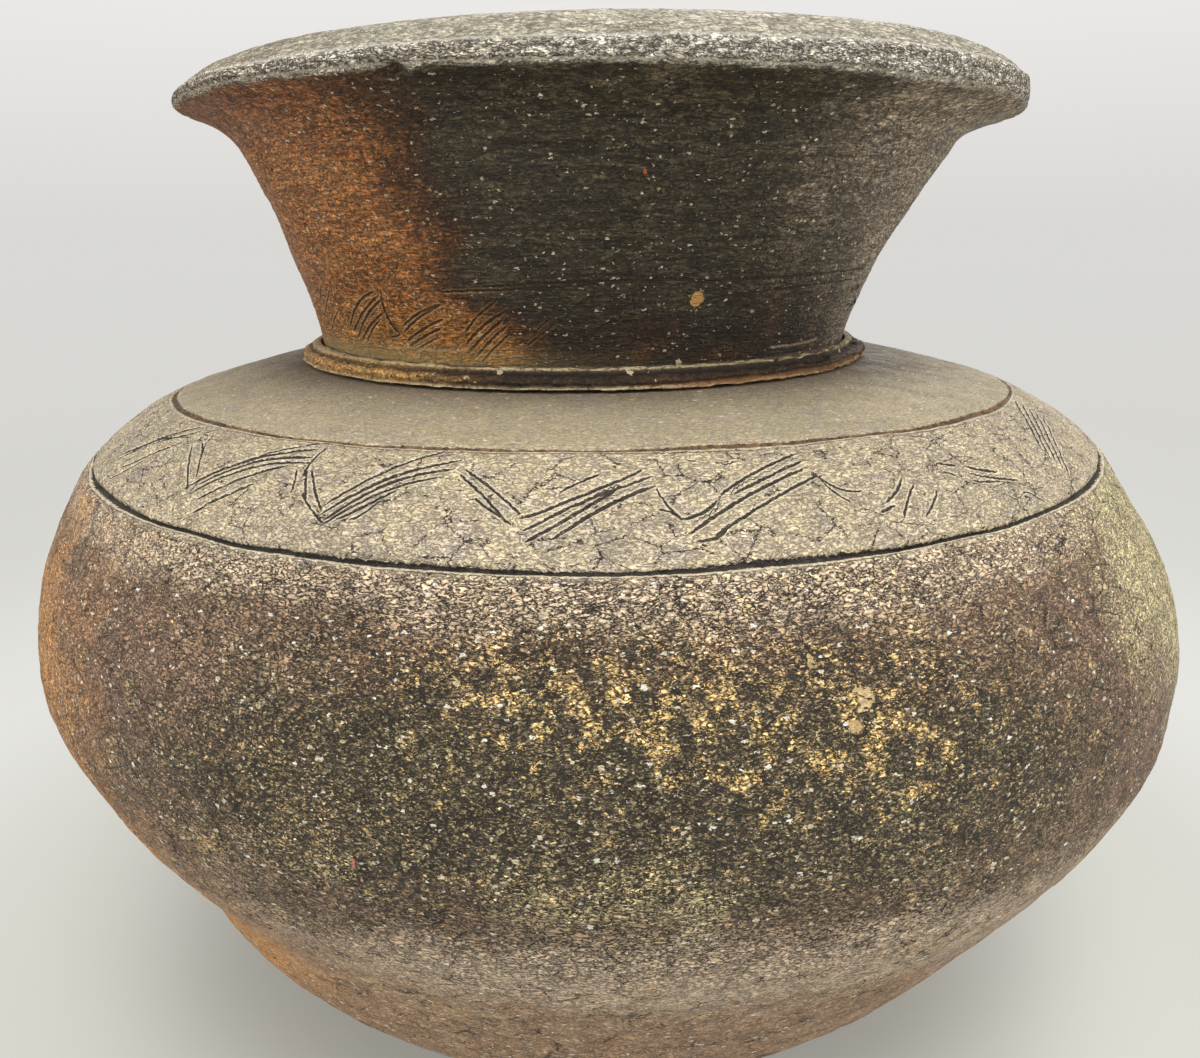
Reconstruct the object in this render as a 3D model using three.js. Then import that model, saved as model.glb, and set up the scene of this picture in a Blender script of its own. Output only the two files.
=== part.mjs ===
// Stoneware storage jar: a wide round belly on a small flat base, a low shoulder with two incised
// grooves, and a tall flared neck that ends in an overhanging lip. It is put together as a potter
// raises it: a base disc, courses of clay luted to each other by bevelled laps, a neck made apart
// and set on the shoulder, a moulded cordon round that joint, and a band that forms the lip.
// Millimetres, +Z up. The origin is the centre of the underside, and the front is towards -Y.
import * as THREE from 'three';

// Fineness of the solids: sides round the axis, and steps along one course of the wall.
const SIDES = 48;
const STEPS = 4;

// Clay sizes: the wall thins from the foot to the shoulder, and a luted joint leaves a thin seam.
const FOOT_WALL = 10;
const SHOULDER_WALL = 7.5;
const SEAM = 0.3;
const LAP = 7;

// Outside of the body as radius and height, from the edge of the base to the opening for the neck.
const BODY = [
  [62, 0],
  [74, 4.6],
  [104, 25.5],
  [128.5, 52],
  [144.2, 79.4],
  [159.3, 106.8],
  [165, 131.4],
  [160.7, 153.3],
  [150, 172.4],
  [143.6, 181.2],
  [133, 189],
  [120.9, 194.8],
  [104, 199.1],
  [88, 201.7],
  [69, 202.4],
];

// Where the courses meet, counted in knots along the body's outside.
const BASE_TOP = 0.6;
const FOOT_TOP = 2.1;
const LOWER_WALL_TOP = 3.5;
const UNDER_BELLY_TOP = 4.9;
const BELLY_TOP = 6.5;
const LOWER_GROOVE = 9;
const UPPER_GROOVE = 11;
const NECK_OPENING = 14;

// Incised grooves on the shoulder: half their width along the wall, and their depth.
const LOWER_GROOVE_CUT = { half: 1.2, depth: 1.3 };
const UPPER_GROOVE_CUT = { half: 0.8, depth: 0.7 };

// Outside of the neck from its foot to the underside of the lip, and its inside back down.
const NECK_FOOT = 203;
const NECK_OUTSIDE = [
  [77.2, NECK_FOOT],
  [78.4, 211.6],
  [83.9, 227],
  [88.8, 239],
  [95, 251.5],
  [98.9, 258.6],
];
const NECK_INSIDE = [
  [86.5, 258.6],
  [84.8, 251.5],
  [79.8, 239],
  [75.2, 227],
  [70.4, 211.6],
  [69.2, NECK_FOOT],
];
const COLLAR_TOP = 229;
const NECK_LAP = 5;

// Lip: a flange that overhangs the neck. Its underside curls out from the neck, its face stands
// upright, and its top slopes up to a crest and turns down into the mouth.
const LIP_EDGE_RADIUS = 114.4;
const LIP_UNDERSIDE = [
  [99.1, 258.9],
  [101.4, 261.2],
  [106, 263.8],
  [113.6, 266.5],
];
const LIP_FACE = [
  [LIP_EDGE_RADIUS, 267],
  [LIP_EDGE_RADIUS + 0.2, 269],
];
const LIP_TOP = [
  [113.8, 271],
  [106, 276.2],
  [96.5, 278.4],
  [94, 278.9],
  [91, 277.4],
  [87.7, 270],
  [86.6, 258.9],
];
const UNDERSIDE_STEPS = 5;
const TOP_STEPS = 11;

// Rise of the lip at its +X edge, by height, for it leans; the -X edge falls by as much.
const LIP_LEAN = [
  [258.9, 0],
  [267, -1],
  [271, 1.1],
];

// Cordon: a strip pressed round the neck's foot, with a thin ridge along each edge.
const CORDON = [
  [78, 207.6],
  [77.6, NECK_FOOT],
  [82.8, 202.5],
  [83.6, 203],
  [83, 203.6],
  [83.3, 204.3],
  [82.9, 205.3],
  [81.8, 206],
  [80.6, 206.2],
  [80.7, 207.3],
];

// The pot was raised by eye, so its centre strays sideways by a few millimetres with height.
const CENTRE_LINE = [
  [0, 0],
  [52, -0.8],
  [88, 3.3],
  [112, 2.4],
  [131, 0],
  [181, -3.3],
  [195, -4],
  [204, -6.9],
  [227, -5.6],
  [246, -3.3],
  [258, -2.3],
  [268, -1.2],
];

// The shoulder rises towards the front and sags at the back, most of all at the upper groove: its
// slope, the radius where it is strongest, how far it reaches to either side, and the heights
// between which it sets in.
const SHOULDER_LEAN = 0.024;
const LEAN_RADIUS = 119;
const LEAN_REACH = 27;
const LEAN_START = 165;
const LEAN_FULL = 185;

// Fired colours of the clay: [colour, roughness].
const FINISHES = {
  underside: [0x8a7060, 0.92],
  lowerBody: [0x846b5a, 0.9],
  ashBelly: [0x6a5843, 0.82],
  upperBelly: [0x7d6b58, 0.85],
  shoulder: [0x9a8b70, 0.86],
  cap: [0xa39573, 0.84],
  collar: [0x6e4c2c, 0.86],
  flare: [0x4b4034, 0.84],
  cordon: [0x4a3422, 0.8],
  lip: [0xaaa497, 0.93],
};

// Radius and height of every section are worked out in the plane of the axis.
function sectionPoints(pairs) {
  return pairs.map(([radius, height]) => new THREE.Vector2(radius, height));
}

const bodyCurve = new THREE.SplineCurve(sectionPoints(BODY));
const lastKnot = BODY.length - 1;

// A point of the body's wall at a knot count, sunk below the outer surface by a depth. The wall
// is followed upwards, so its inside is always to the left of the tangent.
function wallPoint(knot, depth = 0) {
  const t = THREE.MathUtils.clamp(knot / lastKnot, 0, 1);
  const along = bodyCurve.getTangent(t);
  const point = bodyCurve.getPoint(t);
  return new THREE.Vector2(point.x - along.y * depth, point.y + along.x * depth);
}

// Knots passed in one millimetre of wall, for sizes that are measured along it.
function knotsPerMillimetre(knot) {
  const step = 0.02;
  return (2 * step) / wallPoint(knot - step).distanceTo(wallPoint(knot + step));
}

// Wall thickness at a knot count, from the foot to the opening.
function thickness(knot) {
  return THREE.MathUtils.lerp(FOOT_WALL, SHOULDER_WALL, knot / lastKnot);
}

// Evenly spaced values from one end to the other, both ends included.
function spread(from, to, steps) {
  return Array.from({ length: steps + 1 }, (_, index) => THREE.MathUtils.lerp(from, to, index / steps));
}

// Section of one course. Its joint faces rise inwards by the lap, its upper end stops short of
// the next course by the seam, and an end on a groove is cut back to the groove's depth. The
// lowest course butts square against the base's edge, and the highest ends square at the opening.
function courseSection(from, to, { grooveBelow, grooveAbove, squareBottom, closedTop } = {}) {
  const low = knotsPerMillimetre(from);
  const high = knotsPerMillimetre(to);
  const end = to - SEAM * high;
  const outerFrom = grooveBelow ? from + grooveBelow.half * low : from;
  const outerTo = grooveAbove ? end - grooveAbove.half * high : end;
  const innerFrom = squareBottom ? from : from + LAP * low;
  const innerTo = closedTop ? end : end + LAP * high;
  const outside = spread(outerFrom, outerTo, STEPS).map((knot) => wallPoint(knot));
  const inside = spread(innerTo, innerFrom, STEPS).map((knot) => wallPoint(knot, thickness(knot)));
  const grooveFloorBelow = grooveBelow ? [wallPoint(from, grooveBelow.depth)] : [];
  const grooveFloorAbove = grooveAbove ? [wallPoint(end, grooveAbove.depth)] : [];
  return [...grooveFloorBelow, ...outside, ...grooveFloorAbove, ...inside];
}

// The base: a slab, flat underneath and inside, with the first turn of the wall on its edge. Its
// floor is as high as the inner end of the joint with the first course.
function baseSection() {
  const end = BASE_TOP - SEAM * knotsPerMillimetre(BASE_TOP);
  const edge = [0, end / 2, end].map((knot) => wallPoint(knot));
  const floorEdge = wallPoint(end, thickness(end));
  return [new THREE.Vector2(0, 0), ...edge, floorEdge, new THREE.Vector2(0, floorEdge.y)];
}

const neckOutside = new THREE.SplineCurve(sectionPoints(NECK_OUTSIDE));
const neckInside = new THREE.SplineCurve(sectionPoints(NECK_INSIDE));

// The place along a neck curve where it passes a height, found by halving.
function placeAtHeight(curve, height) {
  const rising = curve.getPoint(1).y > curve.getPoint(0).y;
  const halvings = 30;
  let low = 0;
  let high = 1;
  for (let halving = 0; halving < halvings; halving += 1) {
    const middle = (low + high) / 2;
    const below = curve.getPoint(middle).y < height;
    if (below === rising) {
      low = middle;
    } else {
      high = middle;
    }
  }
  return (low + high) / 2;
}

// Section of a stretch of the neck between two heights on its outside and two on its inside.
function neckSection(outer, inner) {
  const outsideFrom = placeAtHeight(neckOutside, outer.low);
  const outsideTo = placeAtHeight(neckOutside, outer.high);
  const insideFrom = placeAtHeight(neckInside, inner.high);
  const insideTo = placeAtHeight(neckInside, inner.low);
  return [
    ...spread(outsideFrom, outsideTo, STEPS).map((t) => neckOutside.getPoint(t)),
    ...spread(insideFrom, insideTo, STEPS).map((t) => neckInside.getPoint(t)),
  ];
}

// Section of the lip, with its underside and its top as smooth curves and its face as drawn.
function lipSection() {
  const underside = new THREE.SplineCurve(sectionPoints(LIP_UNDERSIDE));
  const top = new THREE.SplineCurve(sectionPoints(LIP_TOP));
  return [...underside.getPoints(UNDERSIDE_STEPS), ...sectionPoints(LIP_FACE), ...top.getPoints(TOP_STEPS)];
}

// The value of a list of [height, value] at a height, easing from one entry to the next.
function atHeight(list, height) {
  const above = list.findIndex(([level]) => level >= height);
  if (above < 0) {
    return list.at(-1)[1];
  }
  if (above === 0) {
    return list[0][1];
  }
  const [lowLevel, lowValue] = list[above - 1];
  const [highLevel, highValue] = list[above];
  return THREE.MathUtils.lerp(lowValue, highValue, THREE.MathUtils.smoothstep(height, lowLevel, highLevel));
}

// How far the shoulder is lifted at a radius and a depth from front to back: a cosine hump over
// the radius, times the depth.
function shoulderLift(radius, depth, height) {
  const reach = Math.abs(radius - LEAN_RADIUS) / LEAN_REACH;
  if (reach >= 1 || height >= NECK_FOOT) {
    return 0;
  }
  const onShoulder = THREE.MathUtils.smoothstep(height, LEAN_START, LEAN_FULL);
  return -SHOULDER_LEAN * depth * onShoulder * (0.5 + 0.5 * Math.cos(Math.PI * reach));
}

// Turns a closed section round the axis and lets it stray and lean as the hand-raised pot does.
function turned(section, closesOnAxis = false) {
  const outline = closesOnAxis ? section : [...section, section[0].clone()];
  const geometry = new THREE.LatheGeometry(outline, SIDES);
  geometry.rotateX(Math.PI / 2);
  const place = geometry.getAttribute('position');
  for (let index = 0; index < place.count; index += 1) {
    const x = place.getX(index);
    const y = place.getY(index);
    const z = place.getZ(index);
    const lipRise = (atHeight(LIP_LEAN, z) * x) / LIP_EDGE_RADIUS;
    const lift = shoulderLift(Math.hypot(x, y), y, z) + lipRise;
    place.setXYZ(index, x + atHeight(CENTRE_LINE, z), y, z + lift);
  }
  geometry.computeVertexNormals();
  return geometry;
}

const jar = new THREE.Group();

// Adds one clay piece to the jar under its name.
function addPiece(name, section, [color, roughness], closesOnAxis = false) {
  const material = new THREE.MeshStandardMaterial({ color, roughness, metalness: 0 });
  const piece = new THREE.Mesh(turned(section, closesOnAxis), material);
  piece.name = name;
  jar.add(piece);
}

// Body, from the base up to the opening that the neck stands over.
addPiece('base_disc', baseSection(), FINISHES.underside, true);
addPiece('foot_course', courseSection(BASE_TOP, FOOT_TOP, { squareBottom: true }), FINISHES.lowerBody);
addPiece('lower_wall_course', courseSection(FOOT_TOP, LOWER_WALL_TOP), FINISHES.lowerBody);
addPiece('under_belly_course', courseSection(LOWER_WALL_TOP, UNDER_BELLY_TOP), FINISHES.ashBelly);
addPiece('belly_course', courseSection(UNDER_BELLY_TOP, BELLY_TOP), FINISHES.ashBelly);
addPiece(
  'upper_belly_course',
  courseSection(BELLY_TOP, LOWER_GROOVE, { grooveAbove: LOWER_GROOVE_CUT }),
  FINISHES.upperBelly,
);
addPiece(
  'shoulder_course',
  courseSection(LOWER_GROOVE, UPPER_GROOVE, { grooveBelow: LOWER_GROOVE_CUT, grooveAbove: UPPER_GROOVE_CUT }),
  FINISHES.shoulder,
);
addPiece(
  'shoulder_cap',
  courseSection(UPPER_GROOVE, NECK_OPENING, { grooveBelow: UPPER_GROOVE_CUT, closedTop: true }),
  FINISHES.cap,
);

// Neck: the collar stands on the shoulder, the flare is luted inside its top, and the lip closes it.
const collarInnerTop = COLLAR_TOP + NECK_LAP;
const flareTop = NECK_OUTSIDE.at(-1)[1];
addPiece(
  'neck_collar',
  neckSection({ low: NECK_FOOT, high: COLLAR_TOP }, { low: NECK_FOOT, high: collarInnerTop }),
  FINISHES.collar,
);
addPiece(
  'neck_flare',
  neckSection({ low: COLLAR_TOP + SEAM, high: flareTop }, { low: collarInnerTop + SEAM, high: flareTop }),
  FINISHES.flare,
);
addPiece('neck_cordon', sectionPoints(CORDON), FINISHES.cordon);
addPiece('lip_band', lipSection(), FINISHES.lip);

export default jar;
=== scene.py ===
"""The looks of the stoneware jar: every clay piece as a worked surface with its fired finish.

Heights, radii and depths are written in millimetres and become metres when a mesh is made. The
pot is followed as a section in the plane of its axis, turned round the axis, and then worked:
it strays from the axis, the shoulder leans, and the comb, the grooves, the crust and the hand
marks press into it or stand up from it. Turn 0 is the front, and turns grow towards the right.
"""

import math

import bpy
import numpy as np
from mathutils import Matrix, Vector


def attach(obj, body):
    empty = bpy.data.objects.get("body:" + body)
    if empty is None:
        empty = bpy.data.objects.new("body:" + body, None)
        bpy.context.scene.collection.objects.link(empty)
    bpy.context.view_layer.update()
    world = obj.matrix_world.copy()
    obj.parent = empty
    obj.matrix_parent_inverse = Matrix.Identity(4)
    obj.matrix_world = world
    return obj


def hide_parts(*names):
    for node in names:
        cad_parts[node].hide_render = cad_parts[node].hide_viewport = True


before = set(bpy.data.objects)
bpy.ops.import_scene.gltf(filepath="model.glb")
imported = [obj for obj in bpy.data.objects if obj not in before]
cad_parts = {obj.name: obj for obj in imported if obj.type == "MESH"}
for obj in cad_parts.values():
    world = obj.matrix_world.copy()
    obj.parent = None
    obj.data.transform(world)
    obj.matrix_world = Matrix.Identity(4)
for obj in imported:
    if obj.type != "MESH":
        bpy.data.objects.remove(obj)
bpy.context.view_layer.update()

MM = 0.001

# The wall and its joints, as the solids have them.
BODY = np.array([
    (62, 0), (74, 4.6), (104, 25.5), (128.5, 52), (144.2, 79.4), (159.3, 106.8), (165, 131.4),
    (160.7, 153.3), (150, 172.4), (143.6, 181.2), (133, 189), (120.9, 194.8), (104, 199.1),
    (88, 201.7), (69, 202.4),
], float)
NECK_OUTSIDE = np.array([(77.2, 203), (78.4, 211.6), (83.9, 227), (88.8, 239), (95, 251.5), (98.9, 258.6)])
NECK_INSIDE = np.array([(86.5, 258.6), (84.8, 251.5), (79.8, 239), (75.2, 227), (70.4, 211.6), (69.2, 203)])
CENTRE_LINE = np.array([
    (0, 0), (52, -0.8), (88, 3.3), (112, 2.4), (131, 0), (181, -3.3), (195, -4), (204, -6.9),
    (227, -5.6), (246, -3.3), (258, -2.3), (268, -1.2),
])
FOOT_WALL = 10.0
SHOULDER_WALL = 7.5
LAP = 7.0
COLLAR_TOP = 229.0
NECK_LAP = 5.0
LIP_EDGE_RADIUS = 114.4
LIP_UNDERSIDE = 267.0
LIP_FACE_TOP = 271.0
CREST_RADIUS = 94.0
CREST_HEIGHT = 278.9
LIP_LEAN = np.array([(258.9, 0), (267, -1), (271, 1.1)])
SHOULDER_LEAN = 0.024
LEAN_RADIUS = 119.0
LEAN_REACH = 27.0

# Where the courses of the body meet, counted in knots of its outside.
BASE_TOP, FOOT_TOP, LOWER_WALL_TOP, UNDER_BELLY_TOP, BELLY_TOP = 0.6, 2.1, 3.5, 4.9, 6.5
LOWER_GROOVE, UPPER_GROOVE, NECK_OPENING = 9.0, 11.0, 14.0

# How far the body's broad unevenness stays below the solids' surface, at the least.
HEADROOM = 0.05


# Curves and small helpers


def spline(knots, place):
    """Points of the Catmull-Rom curve through the knots, at places counted in knots."""
    last = len(knots) - 1
    place = np.clip(np.asarray(place, float), 0, last)
    index = np.minimum(place.astype(int), last - 1)
    w = (place - index)[:, None]
    before, start = knots[np.maximum(index - 1, 0)], knots[index]
    end, after = knots[index + 1], knots[np.minimum(index + 2, last)]
    leave, arrive = (end - before) / 2, (after - start) / 2
    cubic = 2 * start - 2 * end + leave + arrive
    square = -3 * start + 3 * end - 2 * leave - arrive
    return cubic * w**3 + square * w**2 + leave * w + start


def ease(value, low, high):
    """Rises from 0 at low to 1 at high along the smoothstep curve 3t^2 - 2t^3."""
    t = np.clip((value - low) / (high - low), 0, 1)
    return t * t * (3 - 2 * t)


def bell(value, middle, width):
    """A Gaussian hump of height 1: exp(-((value - middle) / width)^2)."""
    return np.exp(-(((value - middle) / width) ** 2))


def turn_gap(turn, degrees):
    """The shortest way round from a place given in degrees: negative to the left of it."""
    return (np.degrees(turn) - degrees + 180) % 360 - 180


def wall_normals(points):
    """Unit normals of a section's line, to the right of its direction, so outwards on the way up."""
    along = np.gradient(points, axis=0)
    along /= np.linalg.norm(along, axis=1, keepdims=True)
    return np.stack([along[:, 1], -along[:, 0]], axis=1)


def wall_point(place, depth=0.0):
    """The body's outside at places in knots, sunk to a depth below the surface."""
    place = np.atleast_1d(np.asarray(place, float))
    step = 0.01
    along = spline(BODY, place + step) - spline(BODY, place - step)
    along /= np.linalg.norm(along, axis=1, keepdims=True)
    inwards = np.stack([-along[:, 1], along[:, 0]], axis=1)
    return spline(BODY, place) + inwards * np.atleast_1d(depth)[:, None]


def wall_thickness(place):
    """The wall thins evenly from the foot to the opening."""
    return FOOT_WALL + (SHOULDER_WALL - FOOT_WALL) * np.atleast_1d(place) / (len(BODY) - 1)


_FINE = np.linspace(0, len(BODY) - 1, 2801)
_RUN = np.concatenate([[0], np.cumsum(np.linalg.norm(np.diff(spline(BODY, _FINE), axis=0), axis=1))])


def run_of(place):
    """Distance along the body's outside from the base's edge to a place in knots, in millimetres."""
    return np.interp(place, _FINE, _RUN)


def place_of(run):
    """The place in knots at a distance along the body's outside."""
    return np.interp(run, _RUN, _FINE)


def hand_noise(turn, height, around, up, seed):
    """Smooth noise from -1 to 1 that closes round the pot: random values on a lattice with so many
    cells around and one cell each `up` millimetres, blended with the smoothstep curve."""
    values = np.random.default_rng(seed).uniform(-1, 1, (around, 512))
    column = (turn / (2 * math.pi) * around) % around
    row = (height / up + 40) % 511
    c0, r0 = np.floor(column).astype(int) % around, np.floor(row).astype(int)
    c1, r1 = (c0 + 1) % around, (r0 + 1) % 512
    u, v = column - np.floor(column), row - np.floor(row)
    u, v = u * u * (3 - 2 * u), v * v * (3 - 2 * v)
    low = values[c0, r0] * (1 - u) + values[c1, r0] * u
    high = values[c0, r1] * (1 - u) + values[c1, r1] * u
    return low * (1 - v) + high * v


def round_noise(turn, around, seed):
    """The same noise, changing round the pot alone."""
    return hand_noise(turn, 0 * turn, around, 10, seed)


# The comb's work


# The comb's lines on the band between the grooves, as read off the pot, tooth by tooth: (start
# turn, start depth, end turn, end depth, bow, press), with turns in degrees and the rest in
# millimetres. Depth is counted down the wall from the upper groove, and bow is how far the middle
# of the line lies above its chord.
BAND_LINES = [
    # two limbs at the left edge of what is seen
    (-68.0, 16.7, -62.7, 4.0, 0.0, 0.6), (-59.0, 10.5, -59.1, 3.4, -0.7, 0.5),
    (-57.6, 17.5, -46.9, 1.8, 0.7, 1.0), (-55.4, 15.5, -46.2, 3.6, 0.6, 0.9),
    (-57.4, 19.7, -46.3, 5.9, 3.1, 0.6),
    (-54.4, 19.8, -47.0, 8.0, 0.1, 0.7), (-54.6, 23.6, -50.6, 14.6, -0.1, 0.5),
    # the steep fall after them
    (-43.3, 3.5, -41.2, 10.2, -0.7, 0.7), (-43.5, 6.4, -39.3, 15.0, 0.6, 0.6),
    (-44.6, 7.9, -39.2, 18.2, 0.1, 0.6),
    # the deepest limb, and the fall after it
    (-34.6, 8.1, -27.1, 0.5, 0.8, 0.5), (-39.6, 17.5, -27.1, 2.8, 2.9, 1.2),
    (-38.2, 16.1, -27.2, 5.3, 2.8, 1.2),
    (-38.7, 19.1, -26.7, 6.7, 3.3, 0.9), (-36.8, 19.5, -29.2, 8.1, 1.4, 0.9),
    (-36.3, 22.4, -31.6, 13.6, 0.4, 1.0),
    (-26.5, 2.2, -26.7, 10.4, -0.6, 0.5), (-27.7, 9.0, -26.8, 14.2, 0.0, 0.6),
    (-26.8, 8.1, -24.8, 15.9, -0.2, 0.6),
    (-26.1, 8.6, -22.9, 17.2, -0.3, 0.6), (-25.6, 14.2, -22.2, 19.9, -0.2, 0.5),
    # the limb left of the middle, and its torn fall
    (-22.9, 16.0, -14.0, 0.5, 1.3, 0.9), (-22.8, 18.0, -12.0, 3.2, 2.4, 1.1),
    (-22.3, 19.3, -12.3, 5.7, 2.9, 1.0),
    (-22.4, 20.6, -13.6, 7.9, 2.1, 0.7), (-21.2, 18.8, -16.8, 11.1, 0.1, 0.8),
    (-20.0, 18.5, -18.2, 14.5, -0.2, 0.6),
    (-11.4, 5.8, -6.1, 15.5, 0.4, 0.7), (-11.8, 7.0, -7.2, 17.0, 0.4, 0.7),
    (-10.0, 12.4, -6.7, 17.7, 0.0, 0.6),
    # the limb in the middle
    (-3.1, 10.8, 0.3, 6.4, 0.1, 0.5), (-6.1, 16.3, 3.9, 5.6, -0.3, 0.9), (-5.8, 18.7, 4.6, 7.4, 0.9, 0.9),
    (-5.6, 20.9, 1.6, 10.0, 0.0, 1.0), (-3.6, 20.4, 4.7, 9.6, 1.1, 1.2),
    (4.8, 10.2, 6.3, 16.5, -0.5, 0.4), (4.7, 14.7, 6.3, 16.9, 0.6, 0.6),
    # the limb right of the middle, and its faint fall
    (10.0, 12.0, 18.4, 3.5, 0.8, 0.8), (6.3, 16.7, 9.4, 13.4, -0.8, 1.0), (11.1, 12.1, 18.5, 5.6, 0.3, 0.9),
    (6.6, 19.9, 18.6, 7.4, 1.3, 1.0), (8.6, 20.3, 19.1, 9.4, 0.7, 0.9), (7.2, 21.4, 9.6, 19.3, -0.6, 0.7),
    (18.8, 8.5, 22.4, 13.9, -1.6, 0.6), (19.2, 10.6, 20.8, 16.0, -0.5, 0.4),
    # the last traces at the right
    (27.2, 12.4, 24.0, 17.1, 0.4, 0.6), (28.0, 14.2, 24.8, 20.7, -0.3, 0.5),
    (23.0, 19.0, 24.6, 18.0, 0.1, 0.7),
    (30.0, 16.4, 27.0, 21.2, 0.2, 0.4), (32.8, 10.4, 34.4, 11.7, 0.1, 0.9),
    (35.8, 12.4, 39.0, 15.5, -0.2, 0.9),
    (35.2, 14.0, 40.8, 18.5, -0.3, 0.7), (35.1, 16.0, 38.4, 17.6, -0.2, 0.6),
    (32.3, 12.7, 33.5, 14.0, 0.3, 0.5),
    (39.8, 21.6, 41.7, 25.1, 1.4, 0.7),
]
# Lines low on the neck: the same, with heights in place of depths.
NECK_LINES = [
    (-60.8, 219.7, -55.3, 224.6, 0.0, 0.5), (-61.6, 215.4, -51.7, 224.0, -0.1, 0.5),
    (-61.3, 210.0, -51.4, 218.6, 0.3, 0.4),
    # the arched dab, and the single furrow beside it
    (-48.9, 214.4, -38.1, 223.8, 1.4, 1.0), (-47.8, 213.5, -37.2, 222.9, 0.6, 0.9),
    (-47.1, 211.7, -36.6, 222.1, 0.8, 0.9),
    (-45.9, 211.1, -37.3, 218.8, 0.5, 0.9), (-44.4, 210.8, -38.4, 217.3, 0.3, 0.6),
    (-36.3, 224.2, -34.3, 213.6, -2.0, 1.4),
    # the third dab
    (-33.2, 215.8, -24.1, 221.4, 0.7, 0.9), (-33.4, 214.2, -24.7, 221.0, 0.5, 0.7),
    (-33.0, 212.1, -24.4, 217.9, 0.4, 0.9),
    (-32.5, 211.1, -24.6, 216.0, 0.2, 0.9), (-36.4, 213.1, -34.2, 214.0, -0.3, 0.7),
    (-31.4, 210.0, -25.9, 213.5, 0.1, 0.5),
    # the fourth dab, and the faint ones after it
    (-20.4, 215.0, -14.4, 222.3, 0.6, 0.8), (-20.5, 212.2, -13.0, 220.1, 0.6, 1.0),
    (-20.7, 209.5, -13.5, 218.2, 0.3, 1.0),
    (-18.8, 209.3, -12.8, 216.9, 0.2, 0.9), (-17.7, 208.2, -12.8, 214.6, 0.1, 0.7),
    (-8.0, 215.6, -4.4, 219.7, 0.2, 0.4),
    (-9.4, 212.2, -5.0, 217.1, 0.1, 0.4), (1.1, 214.0, 4.6, 218.6, 0.2, 0.25),
    (-44.2, 210.0, -44.2, 206.8, 0.0, 0.8),
    # long level scratches above the dabs, and one high up
    (-23.5, 224.4, 2.4, 226.4, -0.2, 0.5), (-16.3, 225.6, 18.3, 226.8, 0.7, 0.8),
    (16.7, 226.2, 61.5, 227.1, 0.2, 0.8),
    (18.9, 222.5, 56.6, 224.6, 0.6, 0.5), (-13.6, 254.9, 0.8, 254.6, -0.6, 0.6),
]
# Pale lines on the neck, where slip was dragged up.
PALE_LINES = [
    (-38.1, 210.3, -18.9, 210.5, 0.1, 0.8), (-16.2, 209.9, -9.9, 209.6, 0.0, 0.6),
    (35.8, 209.7, 51.4, 210.2, -0.3, 1.4),
]
# Round the back the same zigzag goes on at an even pace, and so do the dabs on the neck.
BACK_LIMBS, BACK_FROM, BACK_TO = 13, 50.0, 278.0
BACK_DABS = 10
TOOTH_PITCH = 1.9


def parallel(line, count):
    """The same line drawn by so many teeth, each a tooth pitch below the one before."""
    start, low, end, high, bow, press = line
    sinks = [(k * TOOTH_PITCH, press * (1 - 0.1 * k)) for k in range(count)]
    return [(start, low + sink, end, high + sink, bow, lighter) for sink, lighter in sinks]


def band_lines():
    """All comb lines of the band as heights above the upper groove: those seen and those behind."""
    span = (BACK_TO - BACK_FROM) / BACK_LIMBS
    behind = []
    for start in BACK_FROM + span * np.arange(BACK_LIMBS):
        behind += parallel((start, 15.0, start + 0.66 * span, 1.8, 1.6, 1.0), 5)
        behind += parallel((start + 0.7 * span, 4.0, start + 0.98 * span, 13.5, 0.5, 0.6), 3)
    drawn = BAND_LINES + behind
    return [(start, -low, end, -high, bow, press) for start, low, end, high, bow, press in drawn]


def neck_lines():
    """All comb lines of the neck: those seen and the dabs behind."""
    behind = []
    for start in np.linspace(75, 285, BACK_DABS):
        behind += parallel((start, 211.0, start + 9, 217.5, 0.5, 0.7), 4)
    return NECK_LINES + behind


def line_fields(turn, height, radius, lines):
    """How drawn lines pass each point, as two families of every other line, so that neighbours stay
    apart: the distance across the nearest line in millimetres, and its press, which fades at the
    line's ends. A line is the chord between its ends bowed by a parabola, bow * 4 t (1 - t)."""
    gaps = [np.full(turn.shape, 2.0), np.full(turn.shape, 2.0)]
    presses = [np.zeros(turn.shape), np.zeros(turn.shape)]
    nearest = [np.full(turn.shape, 2.0), np.full(turn.shape, 2.0)]
    for number, (start, low, end, high, bow, press) in enumerate(lines):
        family = number % 2
        middle = (start + end) / 2
        x = np.radians(turn_gap(turn, middle)) * radius
        x0, x1 = np.radians(start - middle) * radius, np.radians(end - middle) * radius
        dx, dy = x1 - x0, high - low
        length = np.hypot(dx, dy)
        t = ((x - x0) * dx + (height - low) * dy) / length**2
        side = ((height - low) * dx - (x - x0) * dy) / length - bow * 4 * t * (1 - t)
        beyond = np.maximum(np.maximum(-t, t - 1), 0) * length
        away = np.hypot(side, beyond)
        here = press * ease(t, -0.03, 0.1) * (1 - ease(t, 0.88, 1.03)) * (1 - ease(np.abs(side), 0.9, 1.5))
        nearer = away < nearest[family]
        nearest[family] = np.where(nearer, away, nearest[family])
        gaps[family] = np.where(nearer, np.clip(side, -2, 2), gaps[family])
        presses[family] = np.where(nearer, here, presses[family])
    return gaps, presses


def lines_cut(gaps, presses):
    """Depth of the furrows along the lines: 0.42 * press * exp(-(gap / 0.36)^2) in millimetres."""
    return sum(0.42 * press * bell(gap, 0, 0.36) for gap, press in zip(gaps, presses))


# Sections of the pieces


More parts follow.
